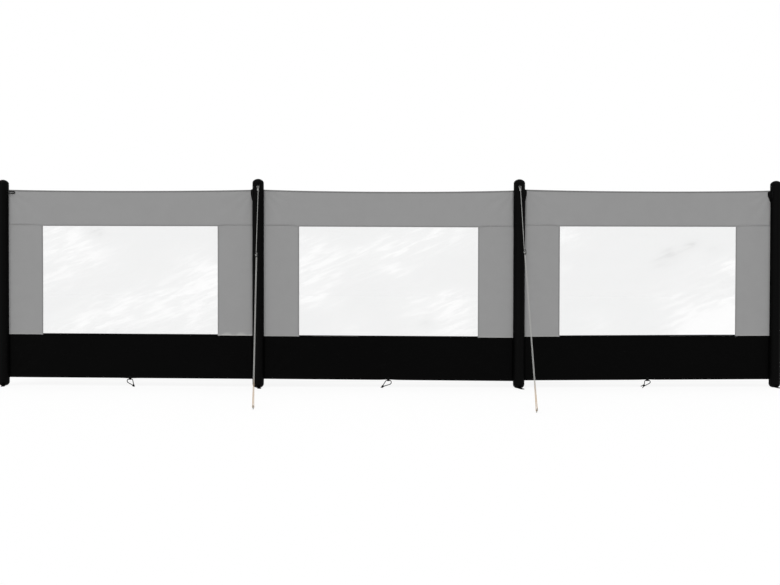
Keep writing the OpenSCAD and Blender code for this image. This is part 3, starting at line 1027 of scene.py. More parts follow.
@dataclass
class Bay:
    """One bay of cloth between two posts: grey bands, a clear window and a black skirt."""

    number: int
    left: np.ndarray
    right: np.ndarray
    loose_side: Side | None = None
    # Stretch along the bay where the sill row is pale, as painted glints
    glint_stretch: tuple[float, float] = (0.0, 0.0)
    top_sag: float = 12 * MM
    cloth_t: float = 0.8 * MM
    film_t: float = 0.5 * MM
    hem_w: float = 12 * MM
    hem_bend: float = 0.8 * MM
    corner_lift: float = 6 * MM
    corner_run: float = 60 * MM
    held_by_tab: float = 40 * MM
    sill_drop: float = 5.0 * MM
    band_drop: float = 2.4 * MM
    binding_lap: float = 2 * MM
    seam_row: float = 4 * MM
    hem_row: float = 10 * MM
    row_step: float = 4 * MM
    cloth_step: float = 11 * MM
    film_step: float = 9 * MM
    billow: float = 7 * MM
    wave: float = 0.75 * MM
    corner_pull: float = 2.2 * MM
    corner_reach: float = 200 * MM
    corner_clear: float = 60 * MM
    post_tug: float = 1.0 * MM
    tug_reach: float = 45 * MM
    tug_clear: float = 12 * MM
    tug_pitch: float = 62 * MM
    seam_pucker: float = 0.35 * MM
    pucker_reach: float = 11 * MM
    pucker_pitch: float = 34 * MM
    film_fold: float = 0.7 * MM
    fold_run: float = 21 * MM
    film_ridge: float = 1.5 * MM
    ridge_run: float = 70 * MM
    film_clear: float = 10 * MM
    film_fade: float = 70 * MM
    flutter: float = 3 * MM

    def __post_init__(self) -> None:
        """Take the cloth's levels and layers from the CAD nodes of the middle bay, which lies along X."""
        parts = {p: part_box(f"bay_2_{p}") for p in ("top_band", "left_band", "right_band", "window", "skirt")}
        self.x0, self.x1 = parts["top_band"][0][0], parts["top_band"][1][0]
        self.top_low, self.top_edge = parts["top_band"][0][2], parts["top_band"][1][2]
        self.band_low, self.lap_top = parts["left_band"][0][2], parts["left_band"][1][2]
        self.window_x0, self.window_x1 = parts["left_band"][1][0], parts["right_band"][0][0]
        self.film_low, self.film_high = parts["window"]
        self.hem_z, self.skirt_top = parts["skirt"][0][2], parts["skirt"][1][2]
        self.layer = (parts["top_band"][1][1] - parts["top_band"][0][1]) / 2
        self.top_y = parts["top_band"][0][1] + self.layer / 2
        self.side_y = self.top_y + self.layer
        self.film_y = (self.film_low[1] + self.film_high[1]) / 2
        self.skirt_y = parts["skirt"][0][1] + self.layer / 2
        self.posts = [f"post_{self.number}", f"post_{self.number + 1}"]
        self.pitch = float(np.linalg.norm(self.right - self.left))
        self.along = (self.right - self.left) / self.pitch
        self.back = np.array([-self.along[1], self.along[0]])
        random = np.random.default_rng(40 + self.number)
        self.waves = [
            (random.uniform(0.28, 0.7), random.uniform(-0.5, 0.5), random.uniform(0, 6.3)) for _ in range(7)
        ]
        self.phases = random.uniform(0, 6.3, 12)

    def node(self, part: str) -> str:
        """Name one of the bay's CAD nodes."""
        return f"bay_{self.number}_{part}"

    def world(self, x: np.ndarray, y: np.ndarray, z: np.ndarray) -> np.ndarray:
        """Turn places in the bay, from its left post, to places in the frame, stacked on the last axis."""
        level = [self.left[k] + x * self.along[k] + y * self.back[k] for k in (0, 1)]
        return np.stack([*level, z * np.ones_like(x)], axis=-1)

    def share_along(self, x: np.ndarray) -> np.ndarray:
        """Give how far along the cloth these places lie, from 0 to 1."""
        return np.clip((x - self.x0) / (self.x1 - self.x0), 0, 1)

    def drape(self, x: np.ndarray, z: np.ndarray) -> np.ndarray:
        """Give how far the taut cloth stands behind its flat plane: billow, soft waves, pulls and puckers.

        Args:
            x: Places along the bay.
            z: Heights.
        Returns:
            Depths, positive to the back.
        """
        arch_x = np.sin(math.pi * self.share_along(x))
        arch_z = np.sin(math.pi * np.clip((z - self.hem_z) / (self.top_edge - self.hem_z), 0, 1))
        depth = self.billow * arch_x * arch_z ** 1.2
        for length, slant, phase in self.waves:
            swell = np.sin(2 * math.pi * (x + slant * z) / length + phase)
            depth = depth + self.wave * arch_x ** 0.6 * arch_z ** 0.6 * swell
        corners = [(cx, cz) for cx in (self.x0, self.x1) for cz in (self.hem_z, self.top_edge)]
        for (cx, cz), phase in zip(corners, self.phases[0:4]):
            off = np.hypot(x - cx, z - cz)
            fan = np.arctan2(np.abs(z - cz), np.abs(x - cx))
            near = np.exp(-off / self.corner_reach) * (1 - np.exp(-(off / self.corner_clear) ** 2))
            depth = depth + self.corner_pull * near * np.cos(13 * fan + phase)
        for edge, phase in zip((self.x0, self.x1), self.phases[4:6]):
            off = np.abs(x - edge)
            near = np.exp(-off / self.tug_reach) * (1 - np.exp(-(off / self.tug_clear) ** 2))
            row = 2 * math.pi * z / self.tug_pitch + 1.5 * np.sin(z / 0.11 + phase)
            depth = depth + self.post_tug * near * arch_z ** 0.5 * np.sin(row)
        seams = (
            self.top_low + self.seam_row, self.top_edge - self.hem_w, self.band_low, self.hem_z + self.hem_w
        )
        for seam, phase in zip(seams, self.phases[6:10]):
            near = np.exp(-((z - seam) / self.pucker_reach) ** 2)
            row = 2 * math.pi * x / self.pucker_pitch + 2.2 * np.sin(x / 0.075 + phase)
            depth = depth + self.seam_pucker * near * np.sin(row)
        return depth

    def creases(self, x: np.ndarray, z: np.ndarray) -> np.ndarray:
        """Give the film's own creases, which fade out at its seams.

        Args:
            x: Places along the bay.
            z: Heights.
        Returns:
            Depths, positive to the back.
        """
        room = np.minimum.reduce([
            x - self.window_x0, self.window_x1 - x, z - self.skirt_top, self.top_low - z
        ])
        fade = np.clip((room - self.film_clear) / self.film_fade, 0, 1)
        slant, wander = 0.93 * z - 0.37 * x, 2.4 * np.sin(x / 0.21 + self.phases[10])
        fold = np.sin(slant / self.fold_run + wander + self.phases[11])
        steeper, sway = 0.9 * z - 0.43 * x, 1.7 * np.sin(x / 0.23)
        ridge = 1 - np.abs(np.sin(steeper / self.ridge_run + sway))
        patches = 0.4 + 0.6 * np.sin(x / 0.13) ** 2
        return fade * (self.film_fold * fold * patches + self.film_ridge * ridge ** 3)

    def hung(self, x: np.ndarray, z: np.ndarray) -> np.ndarray:
        """Give the heights at which the cloth hangs, with its hem, seams and top edge a little off level.

        Args:
            x: Places along the bay.
            z: Heights on the flat cloth.
        Returns:
            Heights on the hung cloth.
        """
        u = self.share_along(x)
        hem, sill, seam, edge = ((left + (right - left) * u) * MM for left, right in LIFTS_MM[self.number])
        beside = np.clip(np.maximum(self.window_x0 - x, x - self.window_x1) / self.corner_run, 0, 1)
        hem = hem * (1 - np.exp(-((x - self.pitch / 2) / self.held_by_tab) ** 2))
        seam = seam + self.corner_lift * beside
        edge = edge - self.top_sag * (4 * u * (1 - u)) ** 0.8
        levels = (self.hem_z, self.skirt_top, self.top_low, self.top_edge)
        skirt, window, band = (
            np.clip((z - low) / (high - low), 0, 1) for low, high in zip(levels, levels[1:])
        )
        drops = (0, -self.band_drop, -self.sill_drop, 0)
        lap = np.interp(z, (self.hem_z, self.band_low, self.skirt_top, self.top_low), drops)
        return z + lap + hem * (1 - skirt) + sill * (skirt - window) + seam * (window - band) + edge * band

    def folded(self, flat: np.ndarray, at_start: bool) -> tuple[np.ndarray, np.ndarray]:
        """Fold a hem to the back at one end of a run of cloth.

        Args:
            flat: Rising places of the grid lines on the front.
            at_start: Whether the hem is at the start of the run instead of its end.
        Returns:
            Places of all lines along the run, and how far each lies behind the front layer.
        """
        if at_start:
            places, depths = self.folded(-flat[::-1], at_start=False)
            return -places[::-1], depths[::-1]
        bend, edge = self.hem_bend, flat[-1] - self.hem_bend
        arc = np.linspace(0, math.pi, 5)[1:]
        hem = np.array([0.5, 1.0]) * self.hem_w
        places = [np.minimum(flat, edge), edge + bend * np.sin(arc), edge - hem]
        depths = [np.zeros_like(flat), bend - bend * np.cos(arc), np.full(len(hem), 2 * bend)]
        return np.concatenate(places), np.concatenate(depths)

    def strip(self, room: np.ndarray, width: float) -> np.ndarray:
        """Give the share of painted shade in a strip of this width along an edge, where the cloth is doubled,
        with a soft border.
        """
        return np.clip((width + 1 * MM - room) / (2 * MM), 0, 1)

    def top_band(self) -> Panel:
        """Lay out the grey top band with its hem folded over the sagging top edge.

        Returns:
            The band.
        """
        marks_x = [e + s * d * MM for e, s in ((self.x0, 1), (self.x1, -1)) for d in (9, 11, 13, 15)]
        marks_z = [self.top_low + d * MM for d in (1.5, 7, 9, 12, 14, 16)]
        marks_z += [self.top_edge - d * MM for d in (3, 7, 9, 11, 13)]
        front_z = stations(self.top_low, self.top_edge, self.cloth_step, marks_z)
        z, back = self.folded(front_z, at_start=False)
        x, z = np.meshgrid(stations(self.x0, self.x1, self.cloth_step, marks_x), z)
        back = back[:, None] + 0 * x
        front = back < SAME_LAYER
        over_film = (x > self.window_x0) & (x < self.window_x1)
        # Painted shade along the seam, strongest above the film, along the hems and on the folded-back layer
        seam = np.where(over_film, 0.75, 0.3 + 0.2 * np.sin(x / 0.045 + self.phases[9]))
        share = np.maximum.reduce([
            self.strip(self.top_edge - z, 10 * MM), seam * self.strip(z - self.top_low, 7 * MM),
            0.1 * self.strip(x - self.x0, self.hem_w), 0.1 * self.strip(self.x1 - x, self.hem_w), 1.0 - front,
        ])
        run = (x, np.where(front, z, 2 * self.top_edge - z))
        flat = (self.x1 - self.x0, self.top_edge - self.top_low + self.hem_w)
        return Panel("top_band", x, self.top_y + back, z, run, share, self.cloth_t, flat, self.posts)

    def side_band(self, side: Side) -> Panel:
        """Lay out a grey side band with its hem folded to the back along the post and a loose lower edge.

        Args:
            side: End of the bay.
        Returns:
            The band.
        """
        at_left, out = side is Side.LEFT, side.value
        low, high = (self.x0, self.window_x0) if at_left else (self.window_x1, self.x1)
        post_x, window_x = (low, high) if at_left else (high, low)
        marks_x = [post_x - out * d * MM for d in (9, 11, 13, 15)]
        marks_x += [window_x + out * d * MM for d in (1.5, 9, 11, 13)]
        marks_z = [self.band_low + d * MM for d in (2, 4, 6, 8, 11, 14, 18)]
        marks_z += [self.top_low - d * MM for d in (-2, 0, 2)]
        x, back = self.folded(stations(low, high, self.cloth_step, marks_x), at_start=at_left)
        x, z = np.meshgrid(x, stations(self.band_low, self.lap_top, self.cloth_step, marks_z))
        back = back[None, :] + 0 * x
        rise = z - self.band_low
        loose = 1.0 if side is self.loose_side else 0.25
        ripple = x / 0.03 + self.phases[5]
        # Painted highlight along the band's lower edge, wide and wavy on the loose band, for light caught
        # where the edge curls
        painted_highlight_h = (7 + 14 * loose * np.cos(ripple) ** 2) * MM
        painted_highlight = (0.35 + 0.55 * loose) * np.clip(1.3 - rise / painted_highlight_h, 0, 1) * (back < SAME_LAYER)
        # Painted shade along the side hem, along the seam at the window's edge and on the folded-back layer,
        # less the painted highlight at the lower edge
        share = np.maximum.reduce([
            0.1 * self.strip(np.abs(x - post_x), self.hem_w), 0.7 * self.strip(np.abs(window_x - x), 8 * MM),
            (back > SAME_LAYER) * 1.0,
        ]) - painted_highlight
        back = back - self.flutter * loose * np.exp(-rise / (6 * MM)) * np.sin(ripple) ** 2
        run = (np.where(back > SAME_LAYER, 2 * post_x - x, x), z)
        flat = (high - low + self.hem_w, self.lap_top - self.band_low)
        part, post = ("left_band", self.posts[0]) if at_left else ("right_band", self.posts[1])
        return Panel(part, x, self.side_y + back, z, run, share, self.cloth_t, flat, [post])

    def skirt(self) -> Panel:
        """Lay out the black skirt with its hem folded to the back along the lower edge.

        Returns:
            The skirt.
        """
        marks_z = [self.hem_z + d * MM for d in (3, 9, 11, 13)]
        marks_z += [self.skirt_top - d * MM for d in (7, 9, 14)]
        front_z = stations(self.hem_z, self.skirt_top, self.cloth_step, marks_z)
        z, back = self.folded(front_z, at_start=True)
        x, z = np.meshgrid(stations(self.x0, self.x1, self.cloth_step), z)
        back = back[:, None] + 0 * x
        behind = back > SAME_LAYER
        # Painted shade along the hem and on its folded-back layer
        share = np.maximum(self.strip(z - self.hem_z, self.hem_w), behind * 1.0)
        run = (x, np.where(behind, 2 * self.hem_z - z, z))
        flat = (self.x1 - self.x0, self.skirt_top - self.hem_z + self.hem_w)
        return Panel("skirt", x, self.skirt_y + back, z, run, share, self.cloth_t, flat, self.posts)

    def window(self) -> Panel:
        """Lay out the clear film, with creases from folding, painted milky highlights and painted crease
        shade, and its edges sewn behind the grey bands.

        Returns:
            The film.
        """
        x, z = np.meshgrid(
            *[stations(self.film_low[k], self.film_high[k], self.film_step) for k in (0, 2)]
        )
        u = (x - self.window_x0) / (self.window_x1 - self.window_x0)
        v = (z - self.skirt_top) / (self.top_low - self.skirt_top)
        # Painted light: milky highlights and dark crease shade at the listed places
        share = sum(
            strength * np.exp(-(((u - a) / size) ** 2 + ((v - b) / size) ** 2))
            for a, b, size, strength in FILM_PAINTED_LIGHT[self.number]
        )
        flat = (self.film_high[0] - self.film_low[0], self.film_high[2] - self.film_low[2])
        rests_on = [f"{self.node(p)}_sheet" for p in ("top_band", "left_band", "right_band")]
        return Panel("window", x, self.film_y, z, (x, z), share, self.film_t, flat, rests_on)

    def sill_binding(self) -> Panel:
        """Lay out the black strip that binds the film's lower edge to the front of the skirt.

        Returns:
            The strip.
        """
        half = self.cloth_t / 2
        across = stations(self.window_x0 + half, self.window_x1 - half, self.cloth_step)
        upright = stations(self.film_low[2] - self.binding_lap, self.skirt_top, self.seam_row)
        x, z = np.meshgrid(across, upright)
        flat = (across[-1] - across[0], upright[-1] - upright[0])
        rests_on = [f"{self.node('window')}_sheet"]
        return Panel("sill_binding", x, self.side_y, z, (x, z), 0 * x, self.cloth_t, flat, rests_on)

    def hang(self, panel: Panel, finish: bpy.types.Material, slot: Slot) -> bpy.types.Object:
        """Hang one sheet in the bay, drape it, give it its thickness and dress it.

        Args:
            panel: The sheet as it was laid out.
            finish: Its material.
            slot: Which kind of material it is; film also gets its own creases.
        Returns:
            The sheet.
        """
        node = self.node(panel.part)
        height = self.hung(panel.x, panel.z)
        depth = panel.y + self.drape(panel.x, height)
        if slot is Slot.FILM:
            depth = depth + self.creases(panel.x, height)
        sheet, cell = grid_sheet(f"{node}_sheet", self.world(panel.x, depth, height))
        set_thread_run(sheet.data, np.stack(panel.run, axis=-1)[cell])
        set_tone(sheet.data, panel.share[cell])
        apply_modifier(sheet, "SOLIDIFY", {"thickness": panel.thickness, "offset": 0.0, "use_rim": True})
        fit_in(sheet, finish, [node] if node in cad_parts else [])
        return sheet

    def row_points(self, x: np.ndarray | float, z: np.ndarray | float, layer: float) -> np.ndarray:
        """Find the points of a row of stitches on the draped cloth.

        Args:
            x: Places along the bay, or one for all.
            z: Heights, or one for all.
            layer: Depth of the row before the cloth is draped.
        Returns:
            Points in the frame.
        """
        x, z = np.broadcast_arrays(x, z)
        height = self.hung(x, z)
        return self.world(x, layer + self.drape(x, height), height)

    def stitching(self, finishes: Finishes) -> list[bpy.types.Object]:
        """Sew the seams and hems, with thread on both faces of the cloth.

        Args:
            finishes: The finishes of the windbreak.
        Returns:
            The threads, one piece for each colour.
        """
        grey, black, pale = (Stitching(self.node(f"{tone}_stitching")) for tone in ("grey", "black", "pale"))
        across, window, upright, full, upper = (
            np.arange(start, stop, self.row_step) for start, stop in (
                (self.x0 + 3 * MM, self.x1 - 2 * MM), (self.window_x0, self.window_x1),
                (self.skirt_top, self.top_low), (self.band_low + 2 * MM, self.lap_top - 15 * MM),
                (self.top_low + 2 * MM, self.top_edge - 2 * MM),
            )
        )
        # Each row: thread, places, heights, layer, and how many thicknesses of cloth its back lies behind it
        rows = [(grey, across, self.top_edge - self.hem_row, self.top_y, 3.2)]
        rows += [(grey, across, self.top_low + d * MM, self.top_y, 3.5) for d in (4, 10)]
        rows.append((black, across, self.hem_z + self.hem_row, self.skirt_y, 2.6))
        # Painted highlight: in the given stretch the sill row is pale thread, for glints off the film's lower
        # edge; elsewhere it is black
        shown = (window > self.glint_stretch[0]) & (window < self.glint_stretch[1])
        for thread, stretch in ((black, window[~shown]), (pale, window[shown])):
            if len(stretch):
                rows.append((thread, stretch, self.skirt_top - 8 * MM, self.side_y, 2.7))
        for post_x, window_x, inward in ((self.x0, self.window_x0, 1), (self.x1, self.window_x1, -1)):
            band = np.arange(min(post_x, window_x) + 3 * MM, max(post_x, window_x) - 2 * MM, self.row_step)
            hem_x = post_x + inward * self.hem_row
            rows.append((grey, band, self.band_low + 6 * MM, self.side_y, 2.6))
            rows += [(grey, window_x - inward * d * MM, upright, self.side_y, 1.9) for d in (4, 9)]
            rows += [(grey, hem_x, full, self.side_y, 2.6), (grey, hem_x, upper, self.top_y, 0.5)]
        for thread, x, z, layer, behind in rows:
            for face, stand in ((Face.FRONT, 0.5), (Face.BACK, behind)):
                outward = np.array([*(face.value * self.back), 0.0])
                thread.sew(self.row_points(x, z, layer + face.value * stand * self.cloth_t), outward)
        threads = (
            (grey, finishes.grey_thread, Slot.GREY), (black, finishes.black_thread, Slot.SKIRT),
            (pale, finishes.glint_thread, Slot.SKIRT),
        )
        return [thread.build(finish, slot) for thread, finish, slot in threads if thread.points]

    def build(self, finishes: Finishes) -> None:
        """Make the bay's sheets and sew them together.

        Args:
            finishes: The finishes of the windbreak.
        """
        for panel in (self.top_band(), self.side_band(Side.LEFT), self.side_band(Side.RIGHT)):
            self.hang(panel, finishes.grey_cloth, Slot.GREY)
        self.hang(self.skirt(), finishes.skirt_cloth, Slot.SKIRT)
        self.hang(self.window(), finishes.film, Slot.FILM)
        self.hang(self.sill_binding(), finishes.skirt_cloth, Slot.SKIRT)
        self.stitching(finishes)


# Peg loops, in millimetres from the middle of the webbing fold: each strand from inside the fold to its end
PEG_LOOP_STRANDS_MM = {
    1: {
        Side.RIGHT: [
            (0.3, 0, 0), (9, 0, 0), (14.2, -0.5, -1.4), (17.4, -1.5, -3.9), (19, -2.5, -7.1), (21.5, -5, -15),
            (24, -8, -23), (27, -12, -31), (30, -16, -39), (32.5, -21, -43.8), (36, -29, -46.5),
        ],
        Side.LEFT: [
            (-0.3, 0, 0), (-9, 0, 0), (-14.2, -0.3, -1.4), (-18, -1, -5.2), (-19.5, -2, -10.5),
            (-18.8, -3, -15.8), (-16, -4, -20.5), (-11.2, -5, -24), (0, -7, -29.4), (10, -9, -34.3),
            (18, -11, -38.6), (23.5, -13, -41.8), (28.5, -15, -45), (35.5, -14, -46.5),
        ],
    },
    2: {
        Side.RIGHT: [
            (0.3, 0, 0), (9, 0, 0), (14.2, -0.3, -1.4), (18, -1, -5.2), (19.5, -2, -10.5), (19.3, -3, -15.8),
            (17.6, -4, -20.6), (13.8, -5.5, -24.4), (9, -6.5, -26.4), (0, -8.5, -29), (-10, -10.5, -31.8),
            (-20, -12.5, -34.8), (-28, -14.5, -37.2), (-33, -16, -39), (-38, -20, -42.6), (-43, -27, -46.5),
        ],
        Side.LEFT: [
            (-0.3, 0, 0), (-9, 0, 0), (-14.2, -0.3, -1.4), (-17.7, -1, -4.6), (-21.6, -2.5, -10.6),
            (-26, -4.5, -17.2), (-30.5, -7, -24), (-34.8, -9.5, -30.3), (-38.8, -12, -35.8),
            (-43.5, -13.5, -41), (-50, -15, -46),
        ],
    },
    3: {
        Side.RIGHT: [
            (0.3, 0, 0), (9, 0, 0), (14.2, -0.3, -1.4), (18.1, -1, -5.2), (19.5, -2, -10.5),
            (18.1, -3, -15.8), (14.2, -4.5, -19.2), (6, -7, -23), (-3, -9, -27), (-11, -11, -30.6),
            (-18, -12.5, -33.5), (-24.5, -14, -35.8), (-31, -18, -39), (-36.5, -24, -43.2), (-41, -31, -46.5),
        ],
        Side.LEFT: [
            (-0.3, 0, 0), (-9, 0, 0), (-14.2, -0.3, -1.4), (-18.1, -1, -5.2), (-19.5, -2, -10.5),
            (-19.8, -3.5, -16.5), (-21, -5.5, -22), (-23.6, -8, -26.8), (-27.8, -10.5, -30.2),
            (-33, -12.5, -32.6), (-41, -14.5, -35), (-48, -16.5, -38.4),
        ],
    },
}


@dataclass
class PegLoop:
    """An elastic cord for a ground peg, led through a webbing fold under the hem and knotted into a loop."""

    bay: Bay
    knot_from_end: int = 3
    diameter: float = 5.5 * MM
    fold_y: float = -0.7 * MM
    fold_z: float = 49.75 * MM
    knot_back: float = 5 * MM
    knot_room: float = 2.2 * MM
    knot_h: float = 3.6 * MM
    knot_turns: float = 2.2

    def places(self, side: Side) -> np.ndarray:
        """Place one strand's chosen points in the frame."""
        x, y, z = (np.array(PEG_LOOP_STRANDS_MM[self.bay.number][side]) * MM).T
        return self.bay.world(x + self.bay.pitch / 2, y + self.fold_y, z + self.fold_z)

    def knot(self, finishes: Finishes) -> bpy.types.Object:
        """Tie the two strands together with a knot.

        Args:
            finishes: The finishes of the windbreak.
        Returns:
            The knot.
        """
        strands = [self.places(side) for side in (Side.LEFT, Side.RIGHT)]
        at = -self.knot_from_end
        left, right = (strand[at] for strand in strands)
        along = unit(sum(strand[at + 1] - strand[at - 1] for strand in strands))
        start = (left + right) / 2 - self.knot_back * along
        wide = np.linalg.norm(right - left) / 2 + self.knot_room
        knot = wound_knot(
            f"{self.bay.node('peg_loop')}_knot", start, along, right - left, wide, self.knot_h,
            0.9 * self.diameter, self.knot_turns,
        )
        return fit_in(knot, finishes.elastic)

    def build(self, finishes: Finishes) -> None:
        """Args:
            finishes: The finishes of the windbreak.
        """
        node = self.bay.node("peg_loop")
        knot = self.knot(finishes)
        for side in Side:
            line = smooth_route(self.places(side), step=1.5 * MM)
            cord = cord_tube(f"{node}_{side.name.lower()}_strand", line, self.diameter, sides=14)
            fit_in(cord, finishes.elastic, [node])
        soft_fitting(self.bay.node("hem_tab"), "webbing", finishes.webbing, edge=0.3 * MM)


@dataclass
class CordTie:
    """A short cord that ties a top corner of the cloth to its post."""

    bay: Bay
    side: Side
    reach: float = 45 * MM
    drop: float = 12 * MM
    diameter: float = 6 * MM
    inset: float = 9 * MM
    sewn_angle_deg: float = 35.0
    sewn_in: float = 1 * MM
    seat: float = 0.3 * MM

    def build(self, finishes: Finishes, post_radius: float) -> bpy.types.Object:
        """Sweep the tie from the post out over the cloth's corner and back.

        Args:
            finishes: The finishes of the windbreak.
            post_radius: Radius of the post that it is sewn to.
        Returns:
            The tie.
        """
        upper = self.bay.top_edge - self.inset
        lower = upper - self.drop
        face = self.bay.top_y - self.bay.cloth_t / 2 - self.diameter / 2 - 2 * self.seat
        bend = min(self.drop / 2, self.reach - self.diameter / 2)
        turn_x = post_radius + self.reach - bend
        angle = math.radians(self.sewn_angle_deg)
        sewn = np.array([math.cos(angle), -math.sin(angle)])
        near, off = (post_radius - self.sewn_in) * sewn, (post_radius + self.diameter) * sewn
        middle, straight = (upper + lower) / 2, self.drop / 2 - bend
        turns = [
            (turn_x + bend * math.cos(a), face, middle + math.copysign(straight, a) + bend * math.sin(a))
            for a in np.radians(np.arange(80, -81, -20))
        ]
        x, y, z = np.array([(*near, upper), (*off, upper), *turns, (*off, lower), (*near, lower)]).T
        if self.side is Side.RIGHT:
            x = self.bay.pitch - x
        node = self.bay.node(f"{self.side.name.lower()}_tie")
        line = smooth_route(self.bay.world(x, y, z), step=1.5 * MM)
        cord = cord_tube(f"{node}_cord", line, self.diameter, sides=14)
        return fit_in(cord, finishes.elastic, [node])


@dataclass
class StrapTie:
    """A webbing strap, sewn round the post, that holds a top corner of the cloth."""

    bay: Bay
    side: Side
    reach: float
    drop: float = 76 * MM
    thickness: float = 2.5 * MM
    rise: float = 4 * MM
    sewn_in: float = 2.5 * MM
    sewn_short: float = 3 * MM
    seat: float = 0.3 * MM

    def build(self, finishes: Finishes, post_radius: float) -> None:
        """Round the webbing's edges and sew its tongue to the band.

        Args:
            finishes: The finishes of the windbreak.
            post_radius: Radius of the post that it is sewn round.
        """
        node = self.bay.node(f"{self.side.name.lower()}_tie")
        soft_fitting(node, "strap", finishes.webbing, edge=0.6 * MM)
        inner, outer = self.sewn_in, self.reach - self.sewn_short
        out, down = np.array([(inner, 0.14), (outer, 0.16), (outer, 0.42), (inner, 0.6), (inner, 0.14)]).T
        x = post_radius + self.seat + out
        z = self.bay.top_edge + self.rise - self.drop * down
        if self.side is Side.RIGHT:
            x = self.bay.pitch - x
        face = self.bay.top_y - self.bay.layer / 2 - self.seat - self.thickness
        thread = Stitching(f"{node}_stitching", length=3.2 * MM, pitch=4.2 * MM, width=0.8 * MM)
        thread.sew(self.bay.world(x, face, z), np.array([*(-self.bay.back), 0.0]))
        thread.build(finishes.black_thread, Slot.WEBBING)


